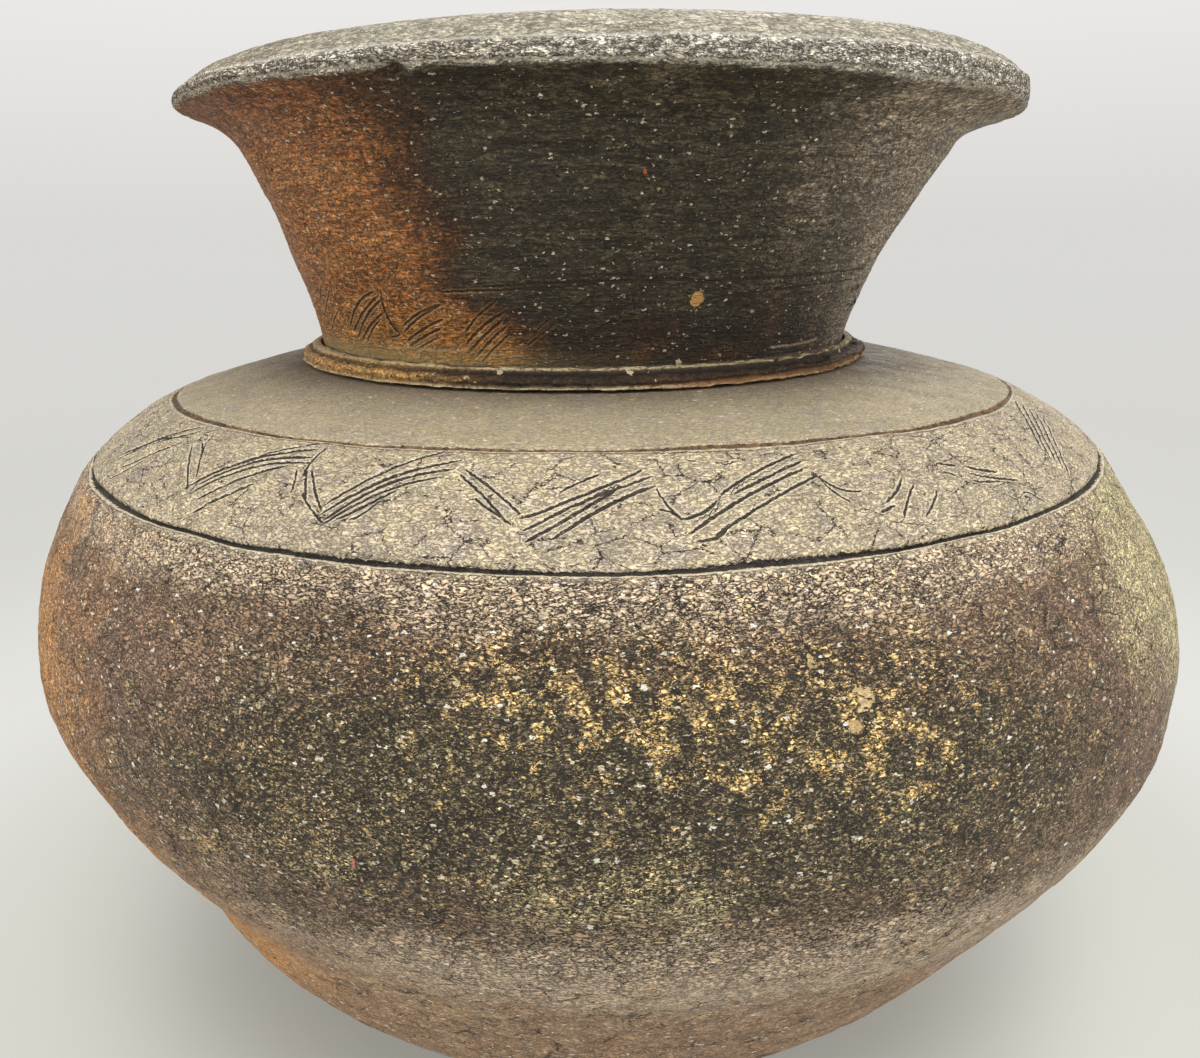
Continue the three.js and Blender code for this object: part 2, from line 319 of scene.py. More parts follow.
class Section:
    """The closed outline of a piece in the plane of the axis. Rows carry the point, the direction
    in which hand marks move it, whether it is on the outside, where alone they reach it, and the
    run along the outside. Corner rows have sharp shading."""

    def __init__(self):
        self.points, self.pushes, self.outside, self.runs = [], [], [], []
        self.corners = []

    def add(self, points, outside, runs=None, corner_first=True):
        """Adds a stretch of the outline."""
        if corner_first:
            self.corners.append(self.count())
        self.points.append(points)
        self.pushes.append(wall_normals(points))
        self.outside.append(np.full(len(points), outside))
        self.runs.append(np.zeros(len(points)) if runs is None else runs)

    def count(self):
        """How many rows there are so far."""
        return sum(len(part) for part in self.points)

    def rows(self):
        """All rows as arrays: points, pushes, outside, runs."""
        return [np.concatenate(part) for part in (self.points, self.pushes, self.outside, self.runs)]


def spaced(low, high, count, dense_low=False, dense_high=False):
    """Values from low to high, closer together towards an end that lies on a groove."""
    t = np.linspace(0, 1, count)
    if dense_low and dense_high:
        t = (1 - np.cos(math.pi * t)) / 2 * 0.5 + t * 0.5
    elif dense_high:
        t = t + 0.32 * (t - t * t)
    elif dense_low:
        t = t - 0.32 * (t - t * t)
    return low + (high - low) * t


def course(start, end, rows, inner_rows=12, dense_low=False, dense_high=False,
           square_bottom=False, closed_top=False):
    """Section of a course of the body: its outside from knot to knot, and its inside a lap higher."""
    low_run, high_run = run_of(start), run_of(end)
    runs = spaced(low_run, high_run, rows, dense_low, dense_high)
    section = Section()
    section.add(wall_point(place_of(runs)), True, runs)
    top_run = high_run if closed_top else high_run + LAP
    bottom_run = low_run if square_bottom else low_run + LAP
    inner = place_of(np.linspace(top_run, bottom_run, inner_rows))
    section.add(wall_point(inner, wall_thickness(inner)), False)
    return section


def at_levels(knots, low, high, count):
    """So many points of the curve through the knots, at even heights from low to high."""
    fine = spline(knots, np.linspace(0, len(knots) - 1, 2001))
    order = np.argsort(fine[:, 1])
    levels = np.linspace(low, high, count)
    return np.stack([np.interp(levels, fine[order, 1], fine[order, 0]), levels], axis=1)


def neck_piece(outer_low, outer_high, inner_low, inner_high, rows):
    """Section of a stretch of the neck between two heights outside and two inside."""
    outside = at_levels(NECK_OUTSIDE, outer_low, outer_high, rows)
    section = Section()
    section.add(outside, True)
    section.add(at_levels(NECK_INSIDE, inner_high, inner_low, 12), False)
    return section


def along_spline(knots, step):
    """Points of the curve through the knots, about a step apart."""
    fine = spline(np.array(knots, float), np.linspace(0, len(knots) - 1, 60 * (len(knots) - 1) + 1))
    run = np.concatenate([[0], np.cumsum(np.linalg.norm(np.diff(fine, axis=0), axis=1))])
    even = np.linspace(0, run[-1], max(3, int(round(run[-1] / step)) + 1))
    return np.stack([np.interp(even, run, fine[:, 0]), np.interp(even, run, fine[:, 1])], axis=1)


# Runs that mark the lip's face and its top; the rest of the lip and the neck have none.
ON_FACE, ON_TOP = 1.0, 2.0


def lip_section():
    """Section of the lip: underside out to the edge, upright face, top up to the crest and round it,
    and the inside back down to the neck."""
    foot = NECK_OUTSIDE[-1, 1]
    edge = LIP_EDGE_RADIUS
    underside = along_spline([
        (98.9, foot), (101.4, 261.2), (106, 263.8), (edge - 0.9, LIP_UNDERSIDE - 0.6),
    ], 0.95)
    face = along_spline([
        (edge - 0.4, LIP_UNDERSIDE - 0.25), (edge, LIP_UNDERSIDE + 0.35), (edge + 0.1, 269),
        (edge - 0.2, 270.4), (edge - 1, LIP_FACE_TOP + 0.3),
    ], 0.45)
    top = along_spline([
        (edge - 1.6, LIP_FACE_TOP + 0.9), (106, 276.1), (CREST_RADIUS + 2.5, CREST_HEIGHT - 0.6),
        (CREST_RADIUS, CREST_HEIGHT - 0.2), (CREST_RADIUS - 3, CREST_HEIGHT - 1.7),
    ], 0.9)
    inside = along_spline([(CREST_RADIUS - 3.4, CREST_HEIGHT - 2.3), (87.7, 270), (86.5, foot)], 3.2)
    section = Section()
    section.add(underside, True)
    section.add(face, True, np.full(len(face), ON_FACE), corner_first=False)
    section.add(top, True, np.full(len(top), ON_TOP), corner_first=False)
    section.add(inside, False, corner_first=False)
    section.corners.append(section.count() - 1)
    return section


def cordon_section():
    """Section of the cordon: from under its lower ridge, over the rounded band, to the neck."""
    shown = along_spline([
        (82.5, 202.5), (83.3, 202.75), (83.4, 203.05), (82.7, 203.45), (82.6, 203.75), (83.05, 204.4),
        (82.7, 205.3), (81.6, 205.85), (80.8, 206.0), (80.45, 206.45), (80.4, 207.1), (79.5, 207.5),
        (78.4, 207.5),
    ], 0.27)
    hidden = np.array([(78.1, 207.3), (77.9, 205.2), (77.75, 203.25), (79.5, 203), (81.2, 202.8)])
    section = Section()
    section.add(shown, True)
    section.add(hidden, False)
    return section


# Hand marks


# The two grooves: knot, depth, half width, height of the burr.
GROOVES = [(LOWER_GROOVE, 1.3, 0.62, 0.2), (UPPER_GROOVE, 0.8, 0.5, 0.15)]


def groove_path(turn, groove_index):
    """How far a drawn groove strays along the wall from its knot, in millimetres."""
    row = np.zeros_like(turn) + groove_index * 37
    slow = 0.5 * hand_noise(turn, row, 9, 10, 5 + groove_index)
    return slow + 0.32 * hand_noise(turn, row, 62, 10, 25 + groove_index)


def groove_cut(turn, run):
    """Depth of the two grooves, the height of the burr pushed up along their lower side, and the way
    across to the nearer one, counted so that its half width is 0.62."""
    cut, burr, nearest = np.zeros(turn.shape), np.zeros(turn.shape), np.full(turn.shape, 9.0)
    for index, (knot, depth, width, lip) in enumerate(GROOVES):
        off = run - run_of(knot) - groove_path(turn, index)
        press = 0.85 + 0.25 * round_noise(turn, 40, 21 + index)
        half = width * (1 + 0.35 * round_noise(turn, 27, 28 + index))
        cut += depth * press * np.exp(-np.abs(off / half) ** 2.4)
        burr += lip * 0.35 * bell(off, -half * 2.1, half * 0.8)
        nearest = np.where(np.abs(off) < np.abs(nearest), off / half * 0.62, nearest)
    return cut, burr, nearest


def band_work(turn, run, radius):
    """The comb's lines on the band, worked out only where the band is."""
    level = run - run_of(UPPER_GROOVE)
    if level.max() < -32 or level.min() > 1:
        blank = np.zeros(turn.shape)
        return [blank + 2, blank + 2], [blank, blank]
    return line_fields(turn, level, radius, band_lines())


def body_marks(turn, run, radius, height):
    """How far the body's surface stands out from the solids' own, in millimetres, mostly below it:
    broad unevenness, paddling, and the grooves and comb strokes cut into it."""
    broad = 0.34 * hand_noise(turn, height, 9, 38, 1) + 0.16 * hand_noise(turn, height, 30, 13, 2)
    dimples = 0.14 * hand_noise(turn, run, 130, 7, 3) + 0.1 * hand_noise(turn, run, 330, 2.6, 4)
    fine = 0.06 * hand_noise(turn, run, 700, 1.3, 7)
    keep = 1 - bell(height, 204, 7)
    cut, burr, _ = groove_cut(turn, run)
    combed = lines_cut(*band_work(turn, run, radius))
    level = np.minimum(-0.5 + broad + dimples, -HEADROOM) * keep
    return level + fine - cut + burr - combed


def neck_marks(turn, run, radius, height):
    """The neck's surface: wiped level lines, slow unevenness, comb dabs low down, scratches, and two
    crumbs of clay stuck on at the right."""
    broad = 0.3 * hand_noise(turn, height, 11, 16, 11)
    wiped = 0.09 * hand_noise(turn, height * 4, 26, 3.1, 12) + 0.05 * hand_noise(turn, height * 9, 60, 4, 13)
    grit = 0.05 * hand_noise(turn, height, 620, 0.9, 14)
    above_foot = height - NECK_OUTSIDE[0, 1]
    combed = lines_cut(*line_fields(turn, height, radius, neck_lines()))
    side = turn_gap(turn, 0)
    crumbs = 1.2 * bell(side, 63, 2.2) * bell(height, 218.5, 1.3)
    crumbs += 0.9 * bell(side, 60.5, 1.8) * bell(height, 222.5, 1.1)
    return -0.25 + broad * ease(above_foot, 0, 8) + wiped + grit - combed + crumbs


def lip_marks(turn, run, radius, height):
    """The lip: a wavy edge, chips along it, and a coarse crust on the face that thins on the top."""
    on_face = (run == ON_FACE).astype(float)
    on_top = (run == ON_TOP).astype(float)
    crust = np.abs(hand_noise(turn, height * 1.2 + radius * 0.8, 560, 1.0, 31))
    crust += 0.6 * np.abs(hand_noise(turn, height + radius, 900, 0.7, 32))
    wave = 0.3 * round_noise(turn, 13, 33) + 0.2 * round_noise(turn, 45, 34)
    torn = 0.3 * round_noise(turn, 130, 38) + 0.2 * round_noise(turn, 420, 39)
    side = turn_gap(turn, -20.5)
    chips = -1.0 * np.clip(round_noise(turn, 70, 35) - 0.62, 0, 1) - 0.9 * bell(side, 0, 0.9)
    lump = 0.8 * bell(side, 2.2, 1.0)
    top_rough = 0.45 * hand_noise(turn, radius, 200, 2.2, 36)
    near_crest = bell(radius, CREST_RADIUS, 5)
    crest_wave = 0.35 * (round_noise(turn, 34, 37) - 1) * near_crest * on_top
    layers = 0.22 * hand_noise(turn, height * 3 + radius, 30, 2.2, 40)
    low = 1 - ease(height, LIP_UNDERSIDE, LIP_UNDERSIDE + 1.6)
    face = on_face * (-0.5 * crust + wave + layers + (torn + chips + lump) * low - 0.2)
    towards_edge = ease(radius, 98, 112)
    top = on_top * (-0.25 + 0.3 * top_rough - 0.25 * crust * towards_edge + layers * towards_edge)
    under = (1 - on_face) * (1 - on_top) * ((wave + chips + lump) * ease(radius, 103, 113)
                                            + torn * ease(radius, 111, 113.3) + 0.05 * top_rough)
    return face + top + crest_wave + under


def cordon_marks(turn, run, radius, height):
    """The cordon was pinched on by hand: its ridges wave, thin out and break a little."""
    wave = 0.18 * round_noise(turn, 23, 41) + 0.2 * hand_noise(turn, height, 80, 2.4, 42)
    side = turn_gap(turn, 0)
    torn = (0.35 + 0.5 * ease(side, 15, 45)) * np.clip(hand_noise(turn, height, 190, 0.9, 44), -1, 0.4)
    grit = 0.1 * hand_noise(turn, height, 500, 0.6, 43)
    spur = 1.1 * bell(side, 73, 5) * ease(height, 203.3, 204.5) * (1 - ease(height, 205.4, 206.5))
    thin = 0.5 * bell(side, 40, 20) * (height > 203.6)
    return -0.22 + wave + torn + grit + spur - thin


# Turning a section into a piece


def at_height(entries, height):
    """The value at a height in a list of (height, value), eased from one entry to the next."""
    index = np.clip(np.searchsorted(entries[:, 0], height) - 1, 0, len(entries) - 2)
    low, high = entries[index], entries[index + 1]
    t = np.clip((height - low[..., 0]) / (high[..., 0] - low[..., 0]), 0, 1)
    t = t * t * (3 - 2 * t)
    return low[..., 1] * (1 - t) + high[..., 1] * t


def stray(radius, height, turn):
    """Places a turned point: the shoulder and the lip lean, and the centre strays sideways. The
    shoulder's lift is -lean * depth * (1 + cos(pi * reach)) / 2."""
    x, y = radius * np.sin(turn), -radius * np.cos(turn)
    reach = np.minimum(np.abs(radius - LEAN_RADIUS) / LEAN_REACH, 1)
    on_shoulder = ease(height, 165, 185) * (height < 203)
    lift = -SHOULDER_LEAN * y * on_shoulder * (0.5 + 0.5 * np.cos(math.pi * reach))
    lift = lift + at_height(LIP_LEAN, height) * x / LIP_EDGE_RADIUS
    return np.stack([x + at_height(CENTRE_LINE, height), y, height + lift], axis=-1)


def set_out(points, runs, columns):
    """A section's points repeated in so many columns round the pot: turn, run, radius and height."""
    turn = np.linspace(0, 2 * math.pi, columns, endpoint=False)[:, None] + np.zeros((1, len(points)))
    return turn, runs + 0 * turn, points[:, 0] + 0 * turn, points[:, 1] + 0 * turn


def in_scene(name, data):
    """A new object in the scene, made of a mesh, a camera's data or a lamp's."""
    made = bpy.data.objects.new(name, data)
    bpy.context.scene.collection.objects.link(made)
    return made


def grid_faces(columns, rows, closed_rows=True):
    """Four-sided faces of a grid that closes round the pot and, unless told not to, along its rows."""
    column = np.arange(columns)[:, None]
    row = np.arange(rows if closed_rows else rows - 1)[None, :]
    after, above = (column + 1) % columns, (row + 1) % rows
    corners = [column * rows + row, after * rows + row, after * rows + above, column * rows + above]
    return np.stack([np.broadcast_to(c, (columns, row.shape[1])) for c in corners], axis=-1).reshape(-1, 4)


def make_mesh(name, vertices, faces, inside, sharp_rows, rows, attributes):
    """A smooth mesh in metres with its attributes. Faces marked inside take the second material, and
    edges that run along the given rows are sharp."""
    mesh = bpy.data.meshes.new(name)
    mesh.vertices.add(len(vertices))
    mesh.vertices.foreach_set("co", (vertices * MM).ravel())
    sizes = np.array([len(block) for block in faces])
    widths = np.concatenate([np.full(len(block), block.shape[1]) for block in faces])
    mesh.loops.add(int(widths.sum()))
    mesh.loops.foreach_set("vertex_index", np.concatenate([block.ravel() for block in faces]))
    mesh.polygons.add(int(sizes.sum()))
    mesh.polygons.foreach_set("loop_start", np.concatenate([[0], np.cumsum(widths)[:-1]]))
    mesh.polygons.foreach_set("use_smooth", np.ones(len(widths), bool))
    mesh.polygons.foreach_set("material_index", inside.astype(np.int32))
    mesh.update(calc_edges=True)
    ends = np.empty(len(mesh.edges) * 2, np.int32)
    mesh.edges.foreach_get("vertices", ends)
    ends = ends.reshape(-1, 2)
    level = ends % rows
    sharp = (level[:, 0] == level[:, 1]) & np.isin(level[:, 0], sharp_rows)
    mesh.edges.foreach_set("use_edge_sharp", sharp)
    for key, values in attributes.items():
        layer = mesh.attributes.new(key, "FLOAT", "POINT")
        layer.data.foreach_set("value", values.astype(np.float32).ravel())
    mesh.validate()
    return in_scene(name, mesh)


def turn_piece(node, name, section, columns, marks, masks, materials):
    """Turns a section round the axis, presses the hand marks in along the outline's normals, and
    lets the piece stand for its node. Columns are the steps round the pot."""
    points, pushes, outside, runs = section.rows()
    rows = len(points)
    turn, run, radius, height = set_out(points, runs, columns)
    push = marks(turn, run, radius, height) * outside
    places = stray(radius + push * pushes[:, 0], height + push * pushes[:, 1], turn)
    faces = grid_faces(columns, rows)
    shown = outside & np.roll(outside, -1)
    inside = np.tile(~shown, columns)
    corners = sorted(set(section.corners + [int(np.flatnonzero(outside)[-1])]))
    fields = masks(turn, run, radius, height)
    piece = make_mesh(name, places.reshape(-1, 3), [faces], inside, corners, rows, fields)
    for material in materials:
        piece.data.materials.append(material)
    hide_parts(node)
    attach(piece, "root")


# Where the kiln's colours lie, and where light and shade are painted


# Soft ovals of each fired colour on the body, and of a painted sheen: strength, turn and height of the
# middle, and half widths in degrees and millimetres.
COLOR_PATCHES = {
    "gold": [(0.9, 9, 158, 15, 11), (0.7, -4, 164, 10, 7), (0.6, 16, 146, 9, 9), (0.5, 150, 150, 40, 14)],
    "soot": [(1.0, -3, 150, 24, 20), (0.7, 22, 140, 22, 20), (0.45, -22, 138, 16, 18),
             (0.6, 175, 140, 50, 25)],
    "ochre": [(1.6, -60, 118, 17, 46), (1.5, -56, 74, 21, 32)],
    "olive": [(1.1, 60, 168, 17, 26), (0.6, 56, 145, 10, 22), (0.5, 2, 128, 22, 9),
              (0.5, -120, 165, 30, 20)],
    "plum": [(1.0, 44, 146, 14, 30), (0.7, -40, 155, 18, 24)],
    # A pale painted sheen, where the overhead light glances off the belly's front.
    "painted_sheen": [(0.5, 24, 98, 28, 20), (1.0, 0, 106, 30, 13)],
}


def patch(turn, height, middle_turn, middle_height, half_turn, half_height):
    """A soft oval of colour: exp(-r^2) with r counted in half widths round and up the pot."""
    round_way = turn_gap(turn, middle_turn) / half_turn
    return np.exp(-(round_way**2) - ((height - middle_height) / half_height) ** 2)


def comb_fields(gaps, presses):
    """The comb's two families of lines as values to keep on the points."""
    return {"gap_a": gaps[0], "press_a": presses[0], "gap_b": gaps[1], "press_b": presses[1]}


def body_fields(turn, run, radius, height):
    """Amounts from 0 to 1 of each fired colour on the body, of the painted sheen and of the painted shade
    beside the ring, and how the grooves and the comb pass.
    """
    _, _, groove = groove_cut(turn, run)
    amounts = {name: sum(strength * patch(turn, height, *oval) for strength, *oval in ovals)
               for name, ovals in COLOR_PATCHES.items()}
    # The painted sheen also lies along the band under the lower groove.
    amounts["painted_sheen"] += 1.2 * bell(run, run_of(LOWER_GROOVE) - 3, 8)
    return {
        **{name: np.clip(amount, 0, 1) for name, amount in amounts.items()},
        "khaki": ease(run, run_of(LOWER_GROOVE) - 4, run_of(LOWER_GROOVE) + 0.5),
        "smooth": ease(run, run_of(UPPER_GROOVE) - 5, run_of(UPPER_GROOVE) + 4),
        "lowest": 1 - ease(height, 90, 130),
        "up_wall": run * MM,
        "groove_gap": groove,
        **comb_fields(*band_work(turn, run, radius)),
        # Where shade is painted on the shoulder's top beside the ring.
        "shade_by_ring": bell(radius, 84, 9) * ease(height, 196, 200),
        "front": bell(turn_gap(turn, -2), 0, 36),
    }


def neck_fields(turn, run, radius, height):
    """Amounts of rust and grey round the neck, its low and high parts, and how the comb and the pale
    lines pass. Rust ends along a border, in degrees, which runs to the right on the way down."""
    above_foot = height - NECK_OUTSIDE[0, 1]
    (pale_gap, second_gap), (pale_press, second_press) = line_fields(turn, height, radius, PALE_LINES)
    side = turn_gap(turn, 0)
    drift = 6 * hand_noise(turn, height, 14, 14, 51)
    border = -29 + 20 * (1 - ease(height, 212, 243))
    rust = ease(side + drift, -125, -80) * (1 - ease(side + drift - border, -17, 17))
    grey = ease(side + drift + 0.35 * (height - 235), 24, 62) * (1 - ease(side, 120, 170))
    return {
        "rust": np.clip(rust + 0.5 * patch(turn, height, 170, 235, 30, 30), 0, 1),
        "grey": grey,
        "low": 1 - ease(above_foot, 4, 26),
        "top": ease(height, 248, 266),
        "up_wall": height * MM,
        **comb_fields(*line_fields(turn, height, radius, neck_lines())),
        "pale_gap": np.where(pale_press > second_press, pale_gap, second_gap),
        "pale_press": np.maximum(pale_press, second_press),
        "foot_tint": (1 - ease(above_foot, 3, 11)) * bell(side, -48, 36),
        "foot_line": bell(above_foot, 3.4, 0.6),
    }


def lip_fields(turn, run, radius, height):
    """Which part of the lip a point is on, with the neck's colours carried on under it."""
    fields = neck_fields(turn, run, radius, height)
    under_edge = ease(radius, LIP_EDGE_RADIUS - 1.9, LIP_EDGE_RADIUS - 0.9) * (run < ON_FACE)
    fields["crust"] = np.maximum(run == ON_FACE, under_edge)
    fields["top_side"] = (run == ON_TOP).astype(float)
    side = turn_gap(turn, 0)
    fields["rise"] = np.where(radius > LIP_EDGE_RADIUS - 5, height - LIP_UNDERSIDE, -5.0)
    fields["crest"] = bell(radius, CREST_RADIUS + 1, 3.5) * (run == ON_TOP)
    fields["tanned"] = np.clip(bell(side, -80, 48) + 0.7 * bell(side, 85, 40), 0, 1)
    return fields


def cordon_fields(turn, run, radius, height):
    """Where a highlight is painted along the ridges and shade in the furrows beside them, and the cordon's
    rusty and grey stretches.
    """
    side = turn_gap(turn, 0)
    return {
        "rust": ease(side, -165, -115) * (1 - ease(side, -40, -12)),
        "grey": ease(side, 40, 70),
        # Where the ridges' painted highlight and the furrows' painted shade lie.
        "ridge": bell(height, 202.95, 0.4) * (radius > 81.5) + bell(height, 207.4, 0.5),
        "gap": 0.6 * bell(height, 203.6, 0.25) * (radius > 82) + bell(height, 206.2, 0.45) * (radius < 81.5),
        "rusty_foot": bell(height, 203.1, 0.6) * ease(side, 0, 30),
    }


# Shader nodes


def tone(code):
    """A colour written as red, green and blue of 0 to 255 on the screen, as linear light."""
    parts = np.array(code) / 255
    linear = np.where(parts <= 0.04045, parts / 12.92, ((parts + 0.055) / 1.055) ** 2.4)
    return (*[float(value) for value in linear], 1.0)


def put(tree, kind, sockets=None, **settings):
    """Adds a node with its settings; sockets gives each input a value or the output that feeds it."""
    node = tree.nodes.new(kind)
    for key, value in settings.items():
        setattr(node, key, value)
    for key, source in (sockets or {}).items():
        join(tree, source, node.inputs[key])
    return node


def join(tree, source, socket):
    """Feeds a socket from an output, or sets its value."""
    if isinstance(source, bpy.types.NodeSocket):
        tree.links.new(source, socket)
    else:
        socket.default_value = source


def calc(tree, operation, first, second=0.0, clamp=False):
    """One sum of a Math node."""
    return put(tree, "ShaderNodeMath", {0: first, 1: second}, operation=operation, use_clamp=clamp).outputs[0]


def times(tree, first, second, clamp=False):
    """One value times another."""
    return calc(tree, "MULTIPLY", first, second, clamp)


def plus(tree, first, second, clamp=False):
    """One value and another."""
    return calc(tree, "ADD", first, second, clamp)


def minus(tree, first, second):
    """One value less another."""
    return calc(tree, "SUBTRACT", first, second)


def vector_calc(tree, operation, first, second=None):
    """One sum of a Vector Math node: with a second vector, with a number to scale by, or alone."""
    sockets = {0: first}
    if second is not None:
        sockets["Scale" if operation == "SCALE" else 1] = second
    node = put(tree, "ShaderNodeVectorMath", sockets, operation=operation)
    return node.outputs["Value" if operation == "LENGTH" else "Vector"]


def total(tree, parts):
    """The sum of values, each times its share."""
    amount = 0.0
    for value, share in parts:
        amount = plus(tree, amount, times(tree, value, share))
    return amount


def lessened(tree, amount, places):
    """An amount that falls to a share of itself where each of the given values reaches 1."""
    for value, share in places:
        amount = times(tree, amount, between(tree, value, 0.0, 1.0, 1.0, share))
    return amount


def between(tree, value, low, high, start=0.0, end=1.0):
    """A value eased from start to end while it goes from low to high."""
    sockets = {"Value": value, "From Min": low, "From Max": high, "To Min": start, "To Max": end}
    return put(tree, "ShaderNodeMapRange", sockets, interpolation_type="SMOOTHSTEP").outputs["Result"]


def blend(tree, amount, first, second, way="MIX"):
    """Two colours mixed by an amount; either may be a tone as written for the screen."""
    first, second = (tone(color) if isinstance(color, tuple) else color for color in (first, second))
    node = put(tree, "ShaderNodeMix", {0: amount, 6: first, 7: second}, data_type="RGBA", blend_type=way)
    return node.outputs[2]


def field(tree, name):
    """A value kept on the piece's points."""
    return put(tree, "ShaderNodeAttribute", attribute_name=name).outputs["Fac"]


def noise(tree, vector, scale, detail=3.0, roughness=0.6, distortion=0.0):
    """Noise value at so many cells a metre."""
    sockets = {
        "Vector": vector, "Scale": scale, "Detail": detail, "Roughness": roughness, "Distortion": distortion,
    }
    return put(tree, "ShaderNodeTexNoise", sockets).outputs["Fac"]


def moved(tree, vector, offset, stretch=(1, 1, 1)):
    """The vector shifted and stretched, so that two patterns don't fall together."""
    return put(tree, "ShaderNodeMapping", {"Vector": vector, "Location": offset, "Scale": stretch}).outputs[0]


def new_group(name, inputs, outputs, colors=()):
    """A node group with named inputs (name: default), float outputs and, after them, colour outputs."""
    tree = bpy.data.node_groups.new(name, "ShaderNodeTree")
    for label, value in inputs.items():
        kind = "NodeSocketFloat" if isinstance(value, float) else "NodeSocketVector"
        socket = tree.interface.new_socket(label, in_out="INPUT", socket_type=kind)
        if value is not None:
            socket.default_value = value
    for label in outputs:
        tree.interface.new_socket(label, in_out="OUTPUT", socket_type="NodeSocketFloat")
    for label in colors:
        tree.interface.new_socket(label, in_out="OUTPUT", socket_type="NodeSocketColor")
    return tree, tree.nodes.new("NodeGroupInput").outputs, tree.nodes.new("NodeGroupOutput").inputs


# The share of light that the grains of the fired clay give back, against the clay's own tone: from
# the dark gaps between them to the few that are nearly white.
MOSAIC = [
    (0.0, (0.10, 0.09, 0.075)), (0.15, (0.16, 0.14, 0.11)), (0.21, (0.58, 0.56, 0.52)),
    (0.45, (0.90, 0.89, 0.85)), (0.60, (1.00, 1.03, 1.05)), (0.72, (1.50, 1.48, 1.38)),
    (0.84, (1.55, 1.36, 1.02)), (0.92, (2.3, 2.25, 2.1)),
]
MOSAIC_TOP = 2.4


def grit_group():
    """The grain of the fired clay. A stirring noise bends the space, so that the Voronoi cells in it
    become broken grains: a coarse mosaic with shade painted into the gaps and light onto each grain's
    middle, and a fine one, in which each grain takes one tone of the scale of grain tones, separate
    pale specks whose size is base * (0.5 + 1.3 random^6), and broken crack lines along the borders of
    wide cells. Height is the coarse grain's own random value, falling off into the gaps."""
    given_names = {
        "Vector": None, "Cells": 1250.0, "Speck cells": 600.0, "Speck share": 0.2, "Speck size": 0.3,
        "Crack cells": 130.0, "Crack width": 0.03, "Crack break": 0.5, "Crack amount": 0.5,
    }
    values = ["Height", "Speck", "Speck tone", "Crack"]
    tree, given, out = new_group("clay grit", given_names, values, ["Coarse", "Fine"])
    stirred = put(tree, "ShaderNodeTexNoise", {"Vector": given["Vector"], "Scale": 1300.0, "Detail": 1.0})
    sway = stirred.outputs["Color"]
    centred = vector_calc(tree, "SUBTRACT", sway, (0.5, 0.5, 0.5))
    bent = vector_calc(tree, "ADD", given["Vector"], vector_calc(tree, "SCALE", centred, 0.0016))

    def cells(scale):
        """Each cell's three random values, and the distance from its middle."""
        found = put(tree, "ShaderNodeTexVoronoi", {"Vector": bent, "Scale": scale}).outputs
        return put(tree, "ShaderNodeSeparateColor", {"Color": found["Color"]}).outputs, found["Distance"]

    def toned(random):
        """The grain tone that belongs to a random value."""
        scale = put(tree, "ShaderNodeValToRGB", {0: random})
        while len(scale.color_ramp.elements) < len(MOSAIC):
            scale.color_ramp.elements.new(1.0)
        for element, (position, share) in zip(scale.color_ramp.elements, MOSAIC):
            element.position = position
            element.color = (*[part / MOSAIC_TOP for part in share], 1.0)
        return vector_calc(tree, "SCALE", scale.outputs[0], MOSAIC_TOP)

    coarse, from_middle = cells(given["Cells"])
    fine, _ = cells(times(tree, given["Cells"], 1.9))
    # Painted light and shade: each grain's middle is lightened 1.5 times and its gaps darkened to 0.4.
    gaps = between(tree, from_middle, 0.3, 0.62, 1.5, 0.4)
    join(tree, vector_calc(tree, "SCALE", toned(coarse[0]), gaps), out["Coarse"])
    join(tree, toned(fine[0]), out["Fine"])
    join(tree, times(tree, plus(tree, coarse[0], 0.4), gaps), out["Height"])

    speck, away = cells(given["Speck cells"])
    growth = plus(tree, times(tree, calc(tree, "POWER", speck[1], 6.0), 1.3), 0.5)
    size = times(tree, given["Speck size"], growth)
    spot = between(tree, calc(tree, "DIVIDE", away, size), 0.85, 1.1, 1.0, 0.0)
    present = calc(tree, "LESS_THAN", speck[0], given["Speck share"])
    join(tree, times(tree, spot, present), out["Speck"])
    join(tree, speck[2], out["Speck tone"])

    borders = {"Vector": bent, "Scale": given["Crack cells"]}
    edge = put(tree, "ShaderNodeTexVoronoi", borders, feature="DISTANCE_TO_EDGE").outputs["Distance"]
    line = between(tree, calc(tree, "DIVIDE", edge, given["Crack width"]), 0.5, 1.0, 1.0, 0.0)
    least = minus(tree, 1.0, given["Crack amount"])
    kept = between(tree, minus(tree, given["Crack break"], least), 0.0, 0.08)
    join(tree, times(tree, line, kept), out["Crack"])
    return tree


def spot_group():
    """One single mark: 1 inside an oval round the centre, given with its half sizes in metres, with
    its rim torn by a noise."""
    given_names = {"Vector": None, "Centre": (0.0, 0.0, 0.0), "Size": (0.001, 0.001, 0.001), "Torn": 0.0}
    tree, given, out = new_group("single mark", given_names, ["Mask"])
    away = vector_calc(tree, "SUBTRACT", given["Vector"], given["Centre"])
    length = vector_calc(tree, "LENGTH", vector_calc(tree, "DIVIDE", away, given["Size"]))
    join(tree, between(tree, plus(tree, length, given["Torn"]), 0.85, 1.05, 1.0, 0.0), out["Mask"])
    return tree


def clouds_group():
    """Cloudy mottling: a broad noise and one thirteen times finer, with the contrast raised."""
    given_names = {"Vector": None, "Cells": 40.0, "Contrast": 1.6}
    tree, given, out = new_group("clouds", given_names, ["Value", "Fine"])
    broad = noise(tree, given["Vector"], given["Cells"], 5.0, 0.62, 0.4)
    fine = noise(tree, given["Vector"], times(tree, given["Cells"], 13.0), 4.0, 0.7)
    raised = times(tree, minus(tree, broad, 0.5), given["Contrast"])
    join(tree, plus(tree, raised, 0.5, clamp=True), out["Value"])
    sharp = times(tree, minus(tree, fine, 0.5), given["Contrast"])
    join(tree, plus(tree, sharp, 0.5, clamp=True), out["Fine"])
    return tree


